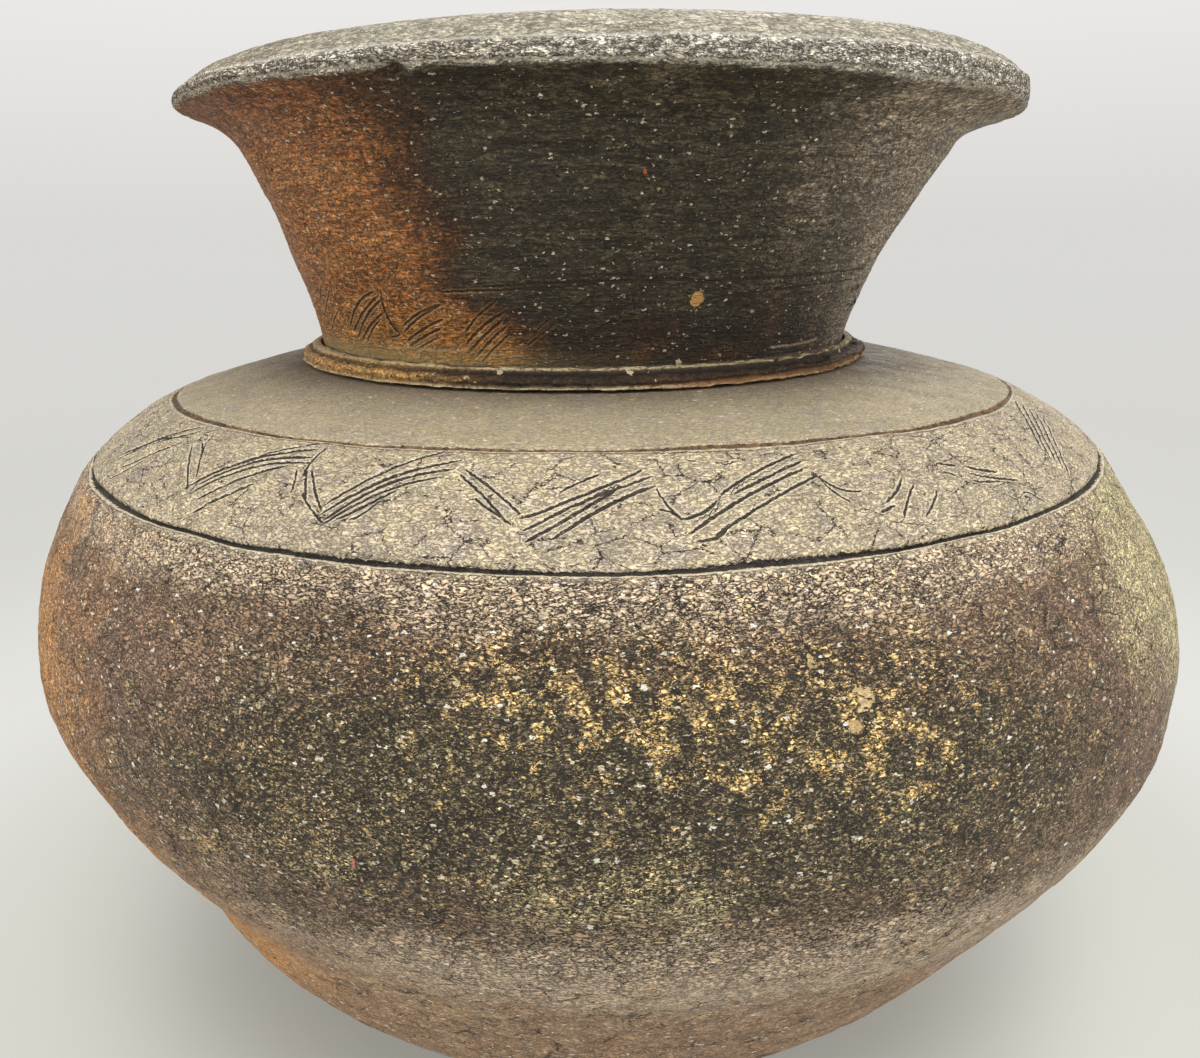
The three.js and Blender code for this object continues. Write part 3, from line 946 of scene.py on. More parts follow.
def creases_group():
    """Thin creases between rounded pebbles, where shade is painted dark: the lines where a noise crosses its
    middle value, kept only where a second noise is high. Dome is the pebbles' height between them, by which
    light and shade are painted on them."""
    given_names = {"Vector": None, "Cells": 700.0, "Width": 0.06, "Kept": 0.5}
    tree, given, out = new_group("creases", given_names, ["Crease", "Dome"])
    first = noise(tree, given["Vector"], given["Cells"], 2.0, 0.55, 0.4)
    wide = times(tree, given["Cells"], 0.7)
    second = noise(tree, moved(tree, given["Vector"], (0.7, 0.3, 0.9)), wide, 2.0, 0.6)
    away = calc(tree, "ABSOLUTE", minus(tree, first, 0.5))
    line = between(tree, calc(tree, "DIVIDE", away, given["Width"]), 0.4, 1.0, 1.0, 0.0)
    least = minus(tree, 0.75, times(tree, given["Kept"], 0.5))
    shown = between(tree, minus(tree, second, least), -0.03, 0.05)
    join(tree, times(tree, line, shown), out["Crease"])
    join(tree, between(tree, away, 0.0, 0.16), out["Dome"])
    return tree


def lines_group():
    """Drawn lines seen from a point: the mask of a furrow, in which shade is painted, whose half width is 0.1
    + 0.2 * press millimetres, with torn edges and broken places, and along both of its sides the place of a
      burr, on which a highlight is painted."""
    given_names = {"Gap a": 2.0, "Press a": 0.0, "Gap b": 2.0, "Press b": 0.0, "Tear": 0.5}
    tree, given, out = new_group("drawn lines", given_names, ["Mask", "Burr"])
    shake = times(tree, minus(tree, given["Tear"], 0.5), 0.7)
    masks, burrs = [], []
    for family in ("a", "b"):
        press = given[f"Press {family}"]
        away = calc(tree, "ABSOLUTE", plus(tree, given[f"Gap {family}"], shake))
        half = plus(tree, times(tree, press, 0.2), 0.1)
        over = minus(tree, away, half)
        drawn = between(tree, press, 0.08, 0.2)
        broken = between(tree, given["Tear"], 0.28, 0.4, 0.35, 1.0)
        core = times(tree, between(tree, over, -0.04, 0.05, 1.0, 0.0), broken)
        masks.append(times(tree, core, drawn))
        hump = between(tree, calc(tree, "ABSOLUTE", minus(tree, over, 0.22)), 0.03, 0.22, 1.0, 0.0)
        burrs.append(times(tree, hump, drawn))
    join(tree, calc(tree, "MAXIMUM", masks[0], masks[1]), out["Mask"])
    join(tree, calc(tree, "MAXIMUM", burrs[0], burrs[1]), out["Burr"])
    return tree


GROUPS = {
    "grit": grit_group(),
    "spot": spot_group(),
    "clouds": clouds_group(),
    "creases": creases_group(),
    "lines": lines_group(),
}


def use(tree, group, **sockets):
    """Places one of the shared groups and gives its outputs."""
    named = {key.capitalize().replace("_", " "): value for key, value in sockets.items()}
    node = put(tree, "ShaderNodeGroup", node_tree=GROUPS[group])
    for key, value in named.items():
        join(tree, value, node.inputs[key])
    return node.outputs


def drawn_lines(tree, tear):
    """The drawn lines kept on the piece's points."""
    return use(tree, "lines", gap_a=field(tree, "gap_a"), press_a=field(tree, "press_a"),
               gap_b=field(tree, "gap_b"), press_b=field(tree, "press_b"), tear=tear)


def new_material(name, roughness):
    """A material with its own Principled BSDF; returns material, tree, shader and coordinates."""
    material = bpy.data.materials.new(name)
    material.use_nodes = True
    tree = material.node_tree
    shader = tree.nodes["Principled BSDF"]
    shader.inputs["Roughness"].default_value = roughness
    shader.inputs["Specular IOR Level"].default_value = 0.35
    place = put(tree, "ShaderNodeTexCoord").outputs["Object"]
    return material, tree, shader, place


def along_wall(tree, place, stretch):
    """Coordinates whose third part is the way up along the wall, stretched, so that what is drawn
    with them lies level on the shoulder as it does on the neck."""
    parts = put(tree, "ShaderNodeSeparateXYZ", {0: place}).outputs
    sockets = {0: parts[0], 1: parts[1], 2: field(tree, "up_wall")}
    return moved(tree, put(tree, "ShaderNodeCombineXYZ", sockets).outputs[0], (0, 0, 0), (1, 1, stretch))


def finish(tree, shader, color, height, distance):
    """Feeds the colour, and the normal from a height whose full swing is given in metres."""
    join(tree, color, shader.inputs["Base Color"])
    bump = put(tree, "ShaderNodeBump", {"Height": height, "Distance": distance, "Strength": 1.0})
    join(tree, bump.outputs["Normal"], shader.inputs["Normal"])


def grey_of(tree, color):
    """How light a colour is."""
    return put(tree, "ShaderNodeRGBToBW", {0: color}).outputs[0]


def slide(tree, amount, first, second):
    """A value that goes from the first to the second with an amount."""
    return put(tree, "ShaderNodeMix", {0: amount, 2: first, 3: second}).outputs[0]


def painted_relief_shading(tree, color, pebble_relief, amount, dark):
    """Paints light and shade over the pebbles: a highlight on their tops, shade at their feet, and the
    creases between them in the dark shade tone.
    """
    shade = between(tree, pebble_relief["Dome"], 0.0, 1.0, 0.6, 1.52)
    color = blend(tree, amount, color, shade, "MULTIPLY")
    return blend(tree, times(tree, pebble_relief["Crease"], amount), color, dark)


def fraction(tree, amount, cloud, softness=0.22):
    """An amount kept on the points, broken up by a cloud so that its border is ragged."""
    raised = plus(tree, amount, times(tree, minus(tree, cloud, 0.5), 0.9))
    return between(tree, raised, 0.5 - softness, 0.5 + softness)


def on_body(turn, knot):
    """A point of the body's outside in metres, at a turn in degrees and a place in knots."""
    radius, height = wall_point(knot, 0.8)[0]
    return tuple(float(v) * MM for v in stray(radius, np.array(height), math.radians(turn)))


def spotted(tree, place, color, on_wall, spots):
    """Lays single marks over a colour, each where on_wall finds its turn and place, and gives the
    colour and where the marks are."""
    rough = minus(tree, noise(tree, place, 700.0, 2.0), 0.5)
    shown = None
    for turn, spot_place, sizes, code, ragged in spots:
        centre, size = on_wall(turn, spot_place), tuple(part * MM for part in sizes)
        torn = times(tree, rough, ragged * 4)
        mask = use(tree, "spot", vector=place, centre=centre, size=size, torn=torn)["Mask"]
        color = blend(tree, mask, color, code)
        shown = mask if shown is None else calc(tree, "MAXIMUM", shown, mask)
    return color, shown


# Single marks on the body: turn, knot, half sizes in millimetres, tone, raggedness.
BODY_SPOTS = [
    (16.2, 7.3, (2.0, 1.8, 2.6), (218, 190, 138), 0.9), (15.1, 7.14, (1.3, 1.2, 1.3), (204, 174, 120), 0.9),
    (13.4, 7.65, (0.8, 0.9, 1.6), (204, 176, 122), 0.9),
    (2.2, 7.53, (0.8, 0.8, 1.0), (244, 238, 220), 0.3),
    (-16.8, 6.05, (0.5, 0.6, 1.2), (196, 120, 104), 0.4),
    (-16.4, 5.9, (0.5, 0.6, 0.8), (206, 140, 120), 0.4),
    (33.0, 4.0, (1.0, 0.6, 0.35), (224, 196, 140), 0.3),
    (-33.0, 4.4, (1.6, 1.0, 0.8), (42, 26, 16), 0.4),
    (-13.0, 9.9, (0.7, 0.7, 0.6), (40, 30, 22), 0.3),
    (-1.5, 9.45, (0.7, 0.7, 0.6), (40, 30, 22), 0.3),
]


def khaki_color(tree, clouds, small, blotches, smooth):
    """The clay above the lower groove: dusty khaki, and calmer and browner on the shoulder's top, with shade
    painted beside the ring at the neck's foot.
    """
    band = blend(tree, clouds["Value"], (164, 151, 130), (186, 171, 141))
    band = blend(tree, between(tree, small["Value"], 0.45, 0.9, 0.0, 0.6), band, (166, 152, 144))
    band = blend(tree, between(tree, blotches, 0.47, 0.6, 0.0, 0.3), band, (194, 178, 138))
    cap = blend(tree, clouds["Value"], (142, 133, 110), (164, 150, 120))
    cap = blend(tree, between(tree, small["Value"], 0.5, 0.9, 0.0, 0.6), cap, (146, 134, 124))
    # Painted shade on the shoulder's top beside the ring at the neck's foot.
    cap = blend(tree, times(tree, field(tree, "shade_by_ring"), 0.6), cap, (130, 115, 98))
    return blend(tree, smooth, band, cap)


def grooves_over(tree, color, clouds, smooth, tear):
    """Draws the grooves with torn edges, with shade painted into them: near black in the lower one and a
    darker reddish brown in the upper one. Along their lower side it paints a highlight on the burr, and a
    thin broken dark line."""
    gap = plus(tree, field(tree, "groove_gap"), times(tree, minus(tree, tear, 0.5), 0.9))
    is_upper = between(tree, smooth, 0.0, 0.3)
    share = calc(tree, "DIVIDE", gap, between(tree, smooth, 0.0, 0.3, 0.6, 0.85))
    in_groove = between(tree, calc(tree, "ABSOLUTE", share), 0.8, 1.0, 1.0, 0.0)
    red = blend(tree, between(tree, clouds["Fine"], 0.3, 0.7), (48, 32, 19), (108, 80, 48))
    # Painted shade in the grooves' cut.
    color = blend(tree, times(tree, in_groove, 0.96), color, blend(tree, is_upper, (20, 14, 9), red))
    # Painted highlight along the burr under each groove.
    burr = between(tree, calc(tree, "ABSOLUTE", plus(tree, share, 1.45)), 0.1, 0.42, 0.75, 0.0)
    color = blend(tree, times(tree, burr, between(tree, smooth, 0.0, 0.3, 1.0, 0.5)), color, (208, 194, 166))
    thin = between(tree, calc(tree, "ABSOLUTE", plus(tree, share, 2.1)), 0.08, 0.28, 0.8, 0.0)
    thin = times(tree, thin, between(tree, clouds["Value"], 0.35, 0.6))
    return blend(tree, thin, color, (56, 42, 30))


def body_clay():
    """The body's stoneware: brown clay, darkened and gilded by ash at the front, khaki above the
    lower groove, all of it a mosaic of broken grains with creases, pale specks and short cracks. A pale sheen
    is painted on the belly's front and under the lower groove, highlights on the pebbles' tops and the burrs,
    and shade in the creases, the grains' gaps, the comb's furrows and the grooves."""
    material, tree, shader, place = new_material("body_stoneware", 0.8)
    clouds = use(tree, "clouds", vector=place, cells=34.0, contrast=2.0)
    small = use(tree, "clouds", vector=moved(tree, place, (1.3, 0.4, 2.1)), cells=150.0, contrast=2.4)
    khaki, smooth = field(tree, "khaki"), field(tree, "smooth")

    color = blend(tree, clouds["Value"], (118, 94, 73), (144, 121, 95))
    # Among these ovals the pale one at the belly's front is a painted sheen; the rest are fired colours.
    for name, cloud, softness, share, code in (
        ("lowest", clouds, 0.22, 1.0, (156, 125, 97)), ("plum", clouds, 0.45, 1.0, (126, 98, 80)),
        ("painted_sheen", clouds, 0.45, 1.0, (182, 161, 136)), ("soot", small, 0.45, 0.85, (100, 92, 68)),
        ("ochre", clouds, 0.45, 1.0, (192, 138, 80)), ("olive", clouds, 0.45, 1.0, (190, 176, 134)),
    ):
        amount = times(tree, fraction(tree, field(tree, name), cloud["Value"], softness), share)
        color = blend(tree, amount, color, code)
    blotches = noise(tree, moved(tree, place, (0.2, 3.1, 0.7)), 230.0, 4.0, 0.72)
    above = khaki_color(tree, clouds, small, blotches, smooth)
    color = blend(tree, fraction(tree, khaki, small["Value"], 0.4), color, above)
    gold_area = times(tree, field(tree, "gold"), 0.16)
    gilded = between(tree, plus(tree, blotches, gold_area), 0.61, 0.72)
    gold_tone = blend(tree, small["Fine"], (182, 142, 84), (210, 186, 130))
    color = blend(tree, times(tree, gilded, between(tree, khaki, 0.0, 0.5, 0.8, 0.15)), color, gold_tone)

    in_front = between(tree, field(tree, "front"), 0.1, 0.9)
    rest = between(tree, khaki, 0.2, 0.9)
    dusted = plus(tree, field(tree, "soot"), times(tree, field(tree, "gold"), 0.8))
    on_belly = between(tree, dusted, 0.15, 0.8, 0.24, 0.85)
    lowest = field(tree, "lowest")
    grainy = lessened(tree, slide(tree, rest, on_belly, 0.2), ((smooth, 0.4), (gilded, 0.65), (lowest, 0.5)))
    flat = along_wall(tree, place, 1.5)
    breaks = between(tree, small["Value"], 0.0, 1.0, 0.15, 0.95)
    grit = use(tree, "grit", vector=flat, cells=1250.0, speck_cells=760.0, speck_share=0.42, speck_size=0.3,
               crack_cells=125.0, crack_width=0.02, crack_break=breaks, crack_amount=0.5)
    color = blend(tree, grainy, color, grit["Coarse"], "MULTIPLY")
    color = blend(tree, times(tree, grainy, 0.6), color, grit["Fine"], "MULTIPLY")
    mottled = times(tree, minus(tree, 1.0, smooth), between(tree, rest, 0.0, 1.0, 1.0, 0.5))
    color = blend(tree, mottled, color, between(tree, blotches, 0.36, 0.62, 0.8, 1.2), "MULTIPLY")
    pebble_relief = use(tree, "creases", vector=along_wall(tree, place, 1.7), cells=760.0, width=0.05, kept=0.8)
    creased = slide(tree, rest, between(tree, in_front, 0.0, 1.0, 0.75, 1.0), 0.5)
    creased = lessened(tree, creased, ((smooth, 0.6), (lowest, 0.55)))
    # Painted light and shade of the relief: highlights on the pebbles' tops, shade at their feet and in the
    # creases.
    color = painted_relief_shading(tree, color, pebble_relief, creased, (34, 26, 18))
    pale_tone = blend(tree, grit["Speck tone"], (206, 184, 146), (244, 239, 225))
    specks = times(tree, grit["Speck"], between(tree, rest, 0.0, 1.0, 0.95, 0.5))
    color = blend(tree, specks, color, pale_tone)
    flaked, _ = spotted(tree, place, color, on_body, BODY_SPOTS)
    color = blend(tree, 0.8, color, flaked)

    cracked = times(tree, grit["Crack"], between(tree, smooth, 0.0, 1.0, 0.95, 0.12))
    color = blend(tree, cracked, color, (34, 25, 17))
    tear = noise(tree, place, 900.0, 2.0)
    drawn = drawn_lines(tree, tear)
    comb, burr = drawn["Mask"], drawn["Burr"]
    # A painted highlight along the comb's burrs, and painted shade in its furrows.
    color = blend(tree, times(tree, burr, 0.5), color, (216, 203, 178))
    color = blend(tree, times(tree, comb, 0.95), color, (30, 21, 14))

    color = grooves_over(tree, color, clouds, smooth, tear)

    join(tree, between(tree, small["Value"], 0.2, 0.8, 0.55, 0.8), shader.inputs["Roughness"])
    grains, domes = times(tree, grit["Height"], grainy), times(tree, pebble_relief["Dome"], creased)
    height = total(tree, ((grains, 0.5), (domes, 0.9), (specks, 0.5), (cracked, -1.0), (comb, -1.2)))
    finish(tree, shader, color, height, 0.5 * MM)
    return material


def neck_color(tree, clouds, streaks):
    """The neck's fired colours: rust at the left, soot in the middle, grey at the right."""
    color = blend(tree, streaks, (48, 43, 31), (78, 70, 53))
    color = blend(tree, times(tree, field(tree, "low"), 0.85), color, (31, 25, 13))
    rust = blend(tree, streaks, (134, 90, 50), (184, 134, 82))
    rust = blend(tree, between(tree, clouds["Fine"], 0.3, 0.8, 0.0, 0.7), rust, (172, 96, 44))
    rust = blend(tree, times(tree, field(tree, "low"), 0.6), rust, (176, 126, 62))
    rust = blend(tree, times(tree, field(tree, "top"), 0.5), rust, (112, 72, 52))
    grey = blend(tree, streaks, (126, 114, 97), (176, 160, 140))
    mottle = plus(tree, times(tree, clouds["Value"], 0.55), times(tree, clouds["Fine"], 0.45))
    edge = fraction(tree, field(tree, "rust"), mottle, 0.5)
    color = blend(tree, fraction(tree, field(tree, "grey"), clouds["Value"], 0.5), color, grey)
    low_rust = times(tree, field(tree, "low"), between(tree, clouds["Value"], 0.4, 0.75, 0.0, 0.7))
    color = blend(tree, low_rust, color, (84, 50, 28))
    color = blend(tree, between(tree, edge, 0.0, 0.4), color, (82, 55, 34))
    return blend(tree, between(tree, edge, 0.4, 1.0), color, rust)


# Single marks on the neck: turn, height, half sizes in millimetres, tone, raggedness.
NECK_SPOTS = [
    (17.8, 222.5, (1.7, 1.5, 2.1), (196, 148, 88), 0.15),
    (63.0, 218.5, (1.6, 1.6, 1.4), (40, 34, 26), 0.3),
    (60.5, 222.5, (1.2, 1.2, 1.1), (40, 34, 26), 0.3),
    (17.0, 207.5, (0.9, 1.0, 1.2), (206, 186, 160), 0.4),
    (31.0, 204.6, (0.8, 1.0, 0.9), (214, 204, 186), 0.4),
    (6.0, 249.0, (0.45, 0.6, 0.6), (186, 96, 48), 0.3),
    (-9.5, 262.0, (0.7, 0.8, 0.9), (214, 200, 172), 0.3),
]


def on_neck(turn, height):
    """A point of the neck's outside in metres, at a turn in degrees and a height in millimetres."""
    levels = spline(NECK_OUTSIDE, np.linspace(0, len(NECK_OUTSIDE) - 1, 401))
    radius = float(np.interp(height, levels[:, 1], levels[:, 0])) - 0.3
    return tuple(float(v) * MM for v in stray(radius, np.array(height), math.radians(turn)))


def neck_clay(name, with_lip):
    """The neck's stoneware: wiped level lines, white flecks, cracks and the comb's dabs, with painted
    highlights on the pebbles and burrs and painted shade in the hairlines, creases and furrows. On the lip
    the same clay goes on underneath, and a pale rough crust of ash covers the face and the top."""
    material, tree, shader, place = new_material(name, 0.74)
    clouds = use(tree, "clouds", vector=place, cells=42.0, contrast=1.7)
    streaks = noise(tree, moved(tree, place, (0.3, 0.9, 0.1), (0.1, 0.1, 1.0)), 620.0, 3.0, 0.7)
    streaks = between(tree, streaks, 0.3, 0.7)
    breaks = between(tree, clouds["Value"], 0.2, 0.8, 0.3, 0.75)
    breaks = minus(tree, breaks, times(tree, field(tree, "rust"), 0.16))
    grit = use(tree, "grit", vector=moved(tree, place, (1, 0, 0), (1, 1, 1.7)), cells=1250.0,
               speck_cells=850.0, speck_share=0.36, speck_size=0.3,
               crack_cells=190.0, crack_width=0.02, crack_break=breaks, crack_amount=0.58)
    color = neck_color(tree, clouds, streaks)
    color = blend(tree, 0.3, color, grit["Coarse"], "MULTIPLY")
    color = blend(tree, 0.2, color, grit["Fine"], "MULTIPLY")
    hairs = use(tree, "creases", vector=along_wall(tree, place, 5.0), cells=220.0, width=0.03, kept=0.7)
    pebble_relief = use(tree, "creases", vector=along_wall(tree, place, 1.3), cells=620.0, width=0.04, kept=0.5)
    # Painted light and shade of the relief: highlights on the tops, shade in the level hairlines and the
    # creases.
    color = painted_relief_shading(tree, color, hairs, 0.6, (26, 19, 12))
    color = painted_relief_shading(tree, color, pebble_relief, 0.6, (40, 26, 15))
    color = blend(tree, times(tree, grit["Speck"], 0.9), color,
                  blend(tree, grit["Speck tone"], (150, 132, 100), (226, 216, 196)))
    color = blend(tree, times(tree, grit["Crack"], 0.8), color, (22, 16, 11))
    color, lumps = spotted(tree, place, color, on_neck, NECK_SPOTS)
    tear = noise(tree, place, 900.0, 2.0)
    comb = drawn_lines(tree, tear)
    # A painted highlight on the comb's burrs, in the rust's tone where the rust is, and painted shade in its
    # furrows.
    color = blend(tree, times(tree, comb["Burr"], times(tree, field(tree, "rust"), 0.6)),
                  color, (198, 156, 104))
    color = blend(tree, times(tree, comb["Mask"], 0.85), color, (44, 28, 15))
    color = blend(tree, times(tree, field(tree, "foot_tint"), 0.75), color, (170, 154, 106))
    color = blend(tree, times(tree, field(tree, "foot_line"), 0.7), color, (206, 190, 150))
    ragged = plus(tree, field(tree, "pale_gap"), times(tree, minus(tree, tear, 0.5), 1.2))
    pale = between(tree, calc(tree, "ABSOLUTE", ragged), 0.1, 0.45, 1.0, 0.0)
    pale = times(tree, pale, field(tree, "pale_press"), clamp=True)
    color = blend(tree, times(tree, pale, 0.7), color, (168, 150, 120))
    height = total(tree, (
        (pebble_relief["Dome"], 0.5), (hairs["Dome"], 0.5), (grit["Speck"], 0.4), (grit["Crack"], -0.5),
        (comb["Mask"], -0.8),
    ))
    if with_lip:
        color, height = crust_over(tree, place, color, height)
    else:
        height = plus(tree, height, lumps)
    join(tree, between(tree, clouds["Value"], 0.2, 0.8, 0.6, 0.78), shader.inputs["Roughness"])
    finish(tree, shader, color, height, 0.4 * MM)
    return material


def crust_over(tree, place, color, height):
    """Lays the ash crust over the lip's face and top: grey-white lumps with painted shade in the creases
    between them and painted highlights on their tops, and a painted highlight along the face's top edge.
    """
    lumpy = moved(tree, place, (5.5, 0.2, 3.8), (1, 1, 1.7))
    lumps = use(tree, "grit", vector=lumpy, cells=1350.0, speck_share=0.2)
    soft = noise(tree, place, 60.0, 4.0, 0.6)
    crust = blend(tree, between(tree, soft, 0.3, 0.7), (184, 176, 159), (210, 203, 188))
    crust = blend(tree, times(tree, field(tree, "tanned"), 0.85), crust, (172, 152, 128))
    coarse = grey_of(tree, lumps["Coarse"])
    crust = blend(tree, 0.3, crust, coarse, "MULTIPLY")
    crust = blend(tree, 0.3, crust, grey_of(tree, lumps["Fine"]), "MULTIPLY")
    flat, flatter = moved(tree, place, (2, 5, 1), (1, 1, 2.1)), moved(tree, place, (4, 2, 3), (1, 1, 4.0))
    pebble_relief = use(tree, "creases", vector=flat, cells=640.0, width=0.05, kept=0.85)
    layered = use(tree, "creases", vector=flatter, cells=200.0, width=0.03, kept=0.7)
    # Painted light and shade of the crust's relief.
    crust = painted_relief_shading(tree, crust, pebble_relief, 0.8, (62, 53, 41))
    crust = painted_relief_shading(tree, crust, layered, 0.5, (50, 42, 32))
    top = blend(tree, soft, (152, 145, 126), (178, 170, 151))
    greenish = between(tree, noise(tree, moved(tree, place, (4, 1, 2)), 24.0), 0.52, 0.7, 0.0, 0.4)
    top = blend(tree, greenish, top, (142, 142, 120))
    top = blend(tree, field(tree, "tanned"), top, (136, 124, 104))
    top = blend(tree, 0.15, top, coarse, "MULTIPLY")
    # The same painted light and shade, weaker, on the top.
    top = painted_relief_shading(tree, top, pebble_relief, 0.5, (74, 66, 54))
    top = painted_relief_shading(tree, top, layered, 0.5, (84, 76, 62))
    on_face, on_top = field(tree, "crust"), field(tree, "top_side")
    covered = blend(tree, on_top, blend(tree, on_face, color, crust), top)
    shake = times(tree, minus(tree, noise(tree, place, 500.0, 3.0), 0.5), 0.6)
    rise = plus(tree, field(tree, "rise"), shake)
    edge = between(tree, calc(tree, "ABSOLUTE", plus(tree, rise, 0.3)), 0.08, 0.25, 0.45, 0.0)
    covered = blend(tree, edge, covered, (222, 211, 184))
    # A painted highlight along the edge where the face meets the top.
    rim = between(tree, calc(tree, "ABSOLUTE", minus(tree, rise, 4.3)), 0.1, 0.6, 0.5, 0.0)
    covered = blend(tree, rim, covered, (216, 210, 196))
    covered = blend(tree, times(tree, field(tree, "crest"), 0.6), covered, (140, 132, 114))
    share = plus(tree, on_face, times(tree, on_top, 0.5))
    relief = plus(tree, times(tree, pebble_relief["Dome"], 1.2), times(tree, lumps["Height"], 0.4))
    return covered, plus(tree, height, times(tree, relief, share))


def cordon_clay():
    """The cordon's clay: sooty in front, rusty at the left and grey at the right, with a cream
    highlight painted along its ridges and shade painted in the furrows beside them and between its pebbles."""
    material, tree, shader, place = new_material("cordon_stoneware", 0.66)
    clouds = use(tree, "clouds", vector=place, cells=60.0, contrast=2.2)
    grit = use(tree, "grit", vector=place, cells=1300.0, speck_cells=500.0, speck_share=0.12, speck_size=0.34)
    color = blend(tree, clouds["Value"], (44, 33, 22), (80, 58, 36))
    rusty = blend(tree, clouds["Value"], (196, 146, 82), (232, 190, 124))
    color = blend(tree, field(tree, "rust"), color, rusty)
    color = blend(tree, field(tree, "grey"), color, (116, 98, 84))
    color = blend(tree, 0.35, color, grit["Coarse"], "MULTIPLY")
    flat = moved(tree, place, (3, 1, 6), (1, 1, 1.5))
    pebble_relief = use(tree, "creases", vector=flat, cells=560.0, width=0.045, kept=0.6)
    # Painted light and shade of the pebbles' relief.
    color = painted_relief_shading(tree, color, pebble_relief, 0.7, (26, 18, 11))
    # Painted shade in the furrows beside the ridges.
    color = blend(tree, times(tree, field(tree, "gap"), 0.8), color, (26, 17, 10))
    # A painted cream highlight along the ridges, broken up by a cloud.
    ragged = times(tree, field(tree, "ridge"), between(tree, clouds["Fine"], 0.25, 0.6, 0.25, 1.0))
    color = blend(tree, ragged, color, (226, 206, 160))
    color = blend(tree, times(tree, field(tree, "rusty_foot"), 0.6), color, (178, 118, 66))
    color = blend(tree, grit["Speck"], color, (210, 190, 156))
    height = plus(tree, clouds["Fine"], times(tree, grit["Height"], 0.5))
    finish(tree, shader, color, height, 0.3 * MM)
    return material


def inside_clay():
    """The bare inside: darker brown clay with faint turning rings and fewer grains."""
    material, tree, shader, place = new_material("inside_stoneware", 0.85)
    clouds = use(tree, "clouds", vector=place, cells=28.0, contrast=1.8)
    grit = use(tree, "grit", vector=place, cells=1200.0, speck_cells=500.0, speck_share=0.15, speck_size=0.3)
    rings = noise(tree, moved(tree, place, (0, 0, 0), (0.1, 0.1, 1.0)), 260.0, 3.0)
    color = blend(tree, clouds["Value"], (92, 74, 60), (128, 106, 86))
    color = blend(tree, between(tree, rings, 0.3, 0.7, 0.35, 0.0), color, (66, 52, 42))
    color = blend(tree, 0.4, color, grit["Coarse"], "MULTIPLY")
    color = blend(tree, times(tree, grit["Speck"], 0.7), color, (206, 188, 158))
    finish(tree, shader, color, plus(tree, rings, times(tree, grit["Height"], 0.4)), 0.4 * MM)
    return material


def underside_clay():
    """The underside: sandy and mottled, with pale specks."""
    material, tree, shader, place = new_material("underside_stoneware", 0.9)
    clouds = use(tree, "clouds", vector=place, cells=45.0, contrast=2.2)
    grit = use(tree, "grit", vector=place, cells=900.0, speck_cells=500.0, speck_share=0.3, speck_size=0.3)
    color = blend(tree, clouds["Value"], (122, 98, 80), (160, 136, 112))
    color = blend(tree, 0.5, color, grit["Coarse"], "MULTIPLY")
    color = blend(tree, times(tree, grit["Speck"], 0.8), color, (214, 198, 168))
    finish(tree, shader, color, plus(tree, clouds["Fine"], grit["Height"]), 0.4 * MM)
    return material


# The pieces


# Steps round the pot on most pieces, and on those with fine work. The low courses have fewer.
STEPS, FINE_STEPS = 1240, 1440


def make_pieces():
    """Turns every clay piece and gives it its finish."""
    body, inside, underside = body_clay(), inside_clay(), underside_clay()
    neck, lip, cordon = neck_clay("neck_stoneware", False), neck_clay("lip_stoneware", True), cordon_clay()

    def body_piece(node, name, slot, columns, *section, **options):
        """Turns one course of the body, given by its knots, rows and ends."""
        turn_piece(node, name, course(*section, **options), columns, body_marks, body_fields,
                   [body, inside])

    base_piece([body, underside, inside])
    body_piece("foot_course", "foot_wall", "lower_body_clay", 900, BASE_TOP, FOOT_TOP, 44, square_bottom=True)
    body_piece("lower_wall_course", "lower_wall", "lower_body_clay", 1000, FOOT_TOP, LOWER_WALL_TOP, 56)
    body_piece("under_belly_course", "under_belly_wall", "belly_clay", 1200, LOWER_WALL_TOP,
               UNDER_BELLY_TOP, 64)
    body_piece("belly_course", "belly_wall", "belly_clay", STEPS, UNDER_BELLY_TOP, BELLY_TOP, 68)
    body_piece("upper_belly_course", "upper_belly_wall", "belly_clay", STEPS, BELLY_TOP, LOWER_GROOVE, 68,
               dense_high=True)
    body_piece("shoulder_course", "combed_shoulder", "shoulder_clay", FINE_STEPS, LOWER_GROOVE,
               UPPER_GROOVE, 58, 10, dense_low=True, dense_high=True)
    body_piece("shoulder_cap", "shoulder_top", "shoulder_clay", STEPS, UPPER_GROOVE, NECK_OPENING, 68,
               dense_low=True, closed_top=True)

    foot, top, collar_inner = NECK_OUTSIDE[0, 1], NECK_OUTSIDE[-1, 1], COLLAR_TOP + NECK_LAP
    turn_piece("neck_collar", "combed_collar", neck_piece(foot, COLLAR_TOP, foot, collar_inner, 68), STEPS,
               neck_marks, neck_fields, [neck, inside])
    turn_piece("neck_flare", "flared_neck", neck_piece(COLLAR_TOP, top, collar_inner, top, 68), STEPS,
               neck_marks, neck_fields, [neck, inside])
    turn_piece("lip_band", "overhanging_lip", lip_section(), FINE_STEPS, lip_and_neck_marks, lip_fields,
               [lip, inside])
    turn_piece("neck_cordon", "cordon", cordon_section(), STEPS, cordon_marks, cordon_fields,
               [cordon, inside])


def lip_and_neck_marks(turn, run, radius, height):
    """The lip's marks, taken over from the neck's marks where the underside leaves the neck."""
    leaving, place = ease(radius, 98.8, 103), (turn, run, radius, height)
    return neck_marks(*place) * (1 - leaving) + lip_marks(*place) * leaving


# Rows of the base's grid: across the underside and across the floor, and up the edge between.
FLAT_ROWS, EDGE_ROWS = 30, 6


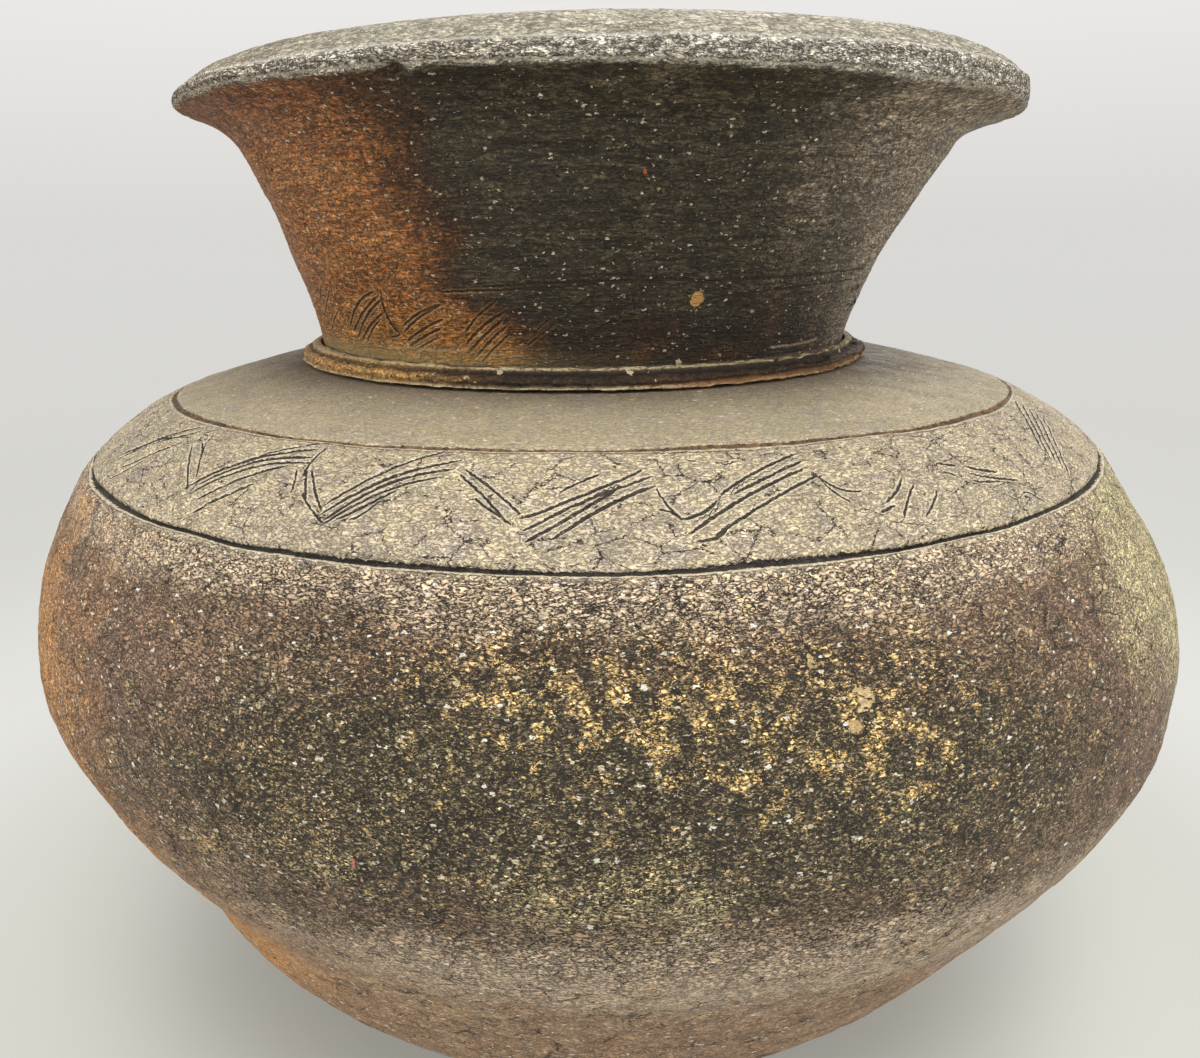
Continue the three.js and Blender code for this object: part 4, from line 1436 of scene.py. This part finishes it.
def base_piece(materials):
    """The base slab: its underside from the centre out, the first turn of the wall, and the floor
    back to the centre. The two middles are closed by fans of triangles."""
    columns, floor_start = 360, FLAT_ROWS + EDGE_ROWS
    under, edge, floor = slice(0, FLAT_ROWS), slice(FLAT_ROWS, floor_start), slice(floor_start, None)
    edge_runs = np.linspace(0, run_of(BASE_TOP), EDGE_ROWS)
    edge_points = wall_point(place_of(edge_runs))
    floor_edge = wall_point(BASE_TOP, wall_thickness(BASE_TOP))[0]
    blank = np.zeros(FLAT_ROWS)
    under_points = np.stack([np.linspace(2, BODY[0, 0] - 0.6, FLAT_ROWS), blank], axis=1)
    floor_points = np.stack([np.linspace(floor_edge[0], 2, FLAT_ROWS), blank + floor_edge[1]], axis=1)
    points = np.concatenate([under_points, edge_points, floor_points])
    rows = len(points)
    turn, run, radius, height = set_out(points, np.concatenate([blank, edge_runs, blank]), columns)
    push = body_marks(turn, run, radius, height)
    push[:, under] = 0.12 * np.abs(hand_noise(turn, radius, 40, 6, 61))[:, under]
    push[:, floor] = 0.25 * hand_noise(turn, radius, 12, 9, 62)[:, floor] - 0.3
    slope, ramp = wall_normals(edge_points), np.linspace(0, 1, EDGE_ROWS)
    radius[:, edge] += push[:, edge] * slope[:, 0] * ramp
    height[:, edge] += push[:, edge] * slope[:, 1] * ramp
    for part, near_rim, rim in ((under, 50, 58), (floor, 56, 64)):
        reach = radius[:, part]
        height[:, part] += push[:, part] * ease(reach, 0, 12) * (1 - ease(reach, near_rim, rim))
    places = stray(radius, height, turn).reshape(-1, 3)
    poles = np.array([(0, 0, 0), (0, 0, floor_edge[1])])
    quads = grid_faces(columns, rows, closed_rows=False)
    first = np.arange(columns) * rows
    after = (np.arange(columns) + 1) % columns * rows
    bottom = np.stack([np.full(columns, columns * rows), after, first], axis=1)
    top = np.stack([np.full(columns, columns * rows + 1), first + rows - 1, after + rows - 1], axis=1)
    kinds = np.repeat([1, 0, 2], [FLAT_ROWS, EDGE_ROWS - 1, FLAT_ROWS])
    clay = np.concatenate([np.tile(kinds, columns), np.full(columns, 1), np.full(columns, 2)])
    fields = body_fields(turn, run, radius, height)
    fields = {key: np.append(values.ravel(), [values.ravel()[0]] * 2) for key, values in fields.items()}
    vertices = np.concatenate([places, poles])
    sharp = [floor_start - 1, floor_start]
    piece = make_mesh("base_slab", vertices, [quads, bottom, top], clay, sharp, rows, fields)
    for material in materials:
        piece.data.materials.append(material)
    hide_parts("base_disc")
    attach(piece, "root")


# Camera, floor and light


# The camera that was solved from the photograph, in millimetres and degrees.
CAMERA_PLACE = (-5.0, -301.0, 239.0)
CAMERA_YAW, CAMERA_PITCH, CAMERA_ROLL = 0.51, 17.64, 0.46
FOCAL_SHARE = 960.5 / 1200
SENSOR = 36.0


def make_camera():
    """The camera stands close in front, level with the neck, and looks down at the belly."""
    yaw, pitch, roll = (math.radians(a) for a in (CAMERA_YAW, CAMERA_PITCH, CAMERA_ROLL))
    forward = Vector((math.sin(yaw) * math.cos(pitch), math.cos(yaw) * math.cos(pitch), -math.sin(pitch)))
    level_right = Vector((math.cos(yaw), -math.sin(yaw), 0))
    level_up = level_right.cross(forward)
    right = level_right * math.cos(roll) - level_up * math.sin(roll)
    up = level_right * math.sin(roll) + level_up * math.cos(roll)
    data = bpy.data.cameras.new("camera")
    data.sensor_width = SENSOR
    data.lens = SENSOR * FOCAL_SHARE
    data.clip_start, data.clip_end = 0.02, 50
    camera = in_scene("camera", data)
    turned = Matrix((right, up, -forward)).transposed()
    camera.matrix_world = Matrix.Translation(Vector(CAMERA_PLACE) * MM) @ turned.to_4x4()
    bpy.context.scene.camera = camera


# The background's tone under the jar, darkened there as a painted shadow, beside it, further out on the
# floor, at the floor's far end and high above it.
CLOSE_SHADOW_TONE, NEAR_TONE, FAR_TONE = (206, 205, 196), (230, 229, 226), (216, 215, 211)
HORIZON, SKY = (217, 216, 213), (235, 233, 231)
FLOOR_TONE = (196, 196, 189)
FLOOR_HALF = 6.0


def seen_by_eye(tree):
    """1 for the rays that show the background itself: straight, mirrored or through clear things."""
    path = put(tree, "ShaderNodeLightPath").outputs
    turned = calc(tree, "MAXIMUM", path["Is Glossy Ray"], path["Is Transmission Ray"])
    return calc(tree, "MAXIMUM", path["Is Camera Ray"], turned)


def make_floor():
    """A wide pale floor. Near the jar it takes light and shadow, and far out the camera sees it in
    the background's own tone, so that it has no edge. Close to the jar that tone is darkened as a painted
    shadow."""
    corners = [(x * FLOOR_HALF, y * FLOOR_HALF, 0) for x, y in ((-1, -1), (1, -1), (1, 1), (-1, 1))]
    mesh = bpy.data.meshes.new("floor")
    mesh.from_pydata(corners, [], [(0, 1, 2, 3)])
    floor = in_scene("floor", mesh)
    material, tree, shader, place = new_material("pale_floor", 0.9)
    shader.inputs["Base Color"].default_value = tone(FLOOR_TONE)
    out = tree.nodes["Material Output"]
    away = vector_calc(tree, "LENGTH", place)
    seen = seen_by_eye(tree)
    # The tone the camera sees, darkened close to the jar as a painted shadow.
    shade = blend(tree, between(tree, away, 0.19, 0.34), CLOSE_SHADOW_TONE, NEAR_TONE)
    shade = blend(tree, between(tree, away, 0.34, 0.6), shade, FAR_TONE)
    shade = blend(tree, between(tree, away, 1.2, FLOOR_HALF), shade, HORIZON)
    glow = put(tree, "ShaderNodeEmission", {"Color": shade, "Strength": 1.0}).outputs[0]
    lit = plus(tree, between(tree, away, 0.06, 0.26, 0.25, 0.7), between(tree, away, 0.35, 1.3, 0.0, 0.3))
    share = times(tree, lit, seen)
    mixed = put(tree, "ShaderNodeMixShader", {0: share, 1: shader.outputs[0], 2: glow})
    join(tree, mixed.outputs[0], out.inputs["Surface"])
    mesh.materials.append(material)


def make_world():
    """Soft light from all round, and for the camera a background that pales on the way up."""
    world = bpy.data.worlds.new("studio")
    bpy.context.scene.world = world
    world.use_nodes = True
    tree = world.node_tree
    tree.nodes.clear()
    seen = seen_by_eye(tree)
    ambient = put(tree, "ShaderNodeBackground", {"Color": (1, 1, 1, 1), "Strength": 0.36}).outputs[0]
    direction = put(tree, "ShaderNodeTexCoord").outputs["Generated"]
    rise = put(tree, "ShaderNodeSeparateXYZ", {0: direction}).outputs[2]
    shade = blend(tree, times(tree, rise, 5.4, clamp=True), HORIZON, SKY)
    backdrop = put(tree, "ShaderNodeBackground", {"Color": shade, "Strength": 1.0}).outputs[0]
    mixed = put(tree, "ShaderNodeMixShader", {0: seen, 1: ambient, 2: backdrop}).outputs[0]
    put(tree, "ShaderNodeOutputWorld", {"Surface": mixed})


# Lamps: name, place and target in metres, size in metres, power in watts.
LAMPS = [
    ("overhead_softbox", (0.06, -0.55, 1.36), (0, 0, 0.15), 0.6, 21.0),
    ("left_fill", (-1.3, -0.8, 0.6), (0, 0, 0.15), 0.8, 6.0),
    ("right_fill", (1.3, -0.5, 0.7), (0, 0, 0.15), 0.8, 6.0),
    ("low_front_fill", (0.0, -0.9, 0.14), (0, 0, 0.12), 0.4, 1.5),
    ("back_rim", (0.3, 1.2, 1.0), (0, 0, 0.2), 0.8, 8.0),
]


def make_lamps():
    """Square soft lamps aimed at the jar, which no camera sees."""
    for name, place, target, size, power in LAMPS:
        data = bpy.data.lights.new(name, "AREA")
        data.size, data.energy = size, power
        lamp = in_scene(name, data)
        lamp.location = place
        lamp.visible_camera = False
        lamp.rotation_euler = (Vector(target) - Vector(place)).to_track_quat("-Z", "Y").to_euler()


bpy.context.scene.view_settings.view_transform = "Standard"
make_camera()
make_world()
make_lamps()
make_floor()
make_pieces()
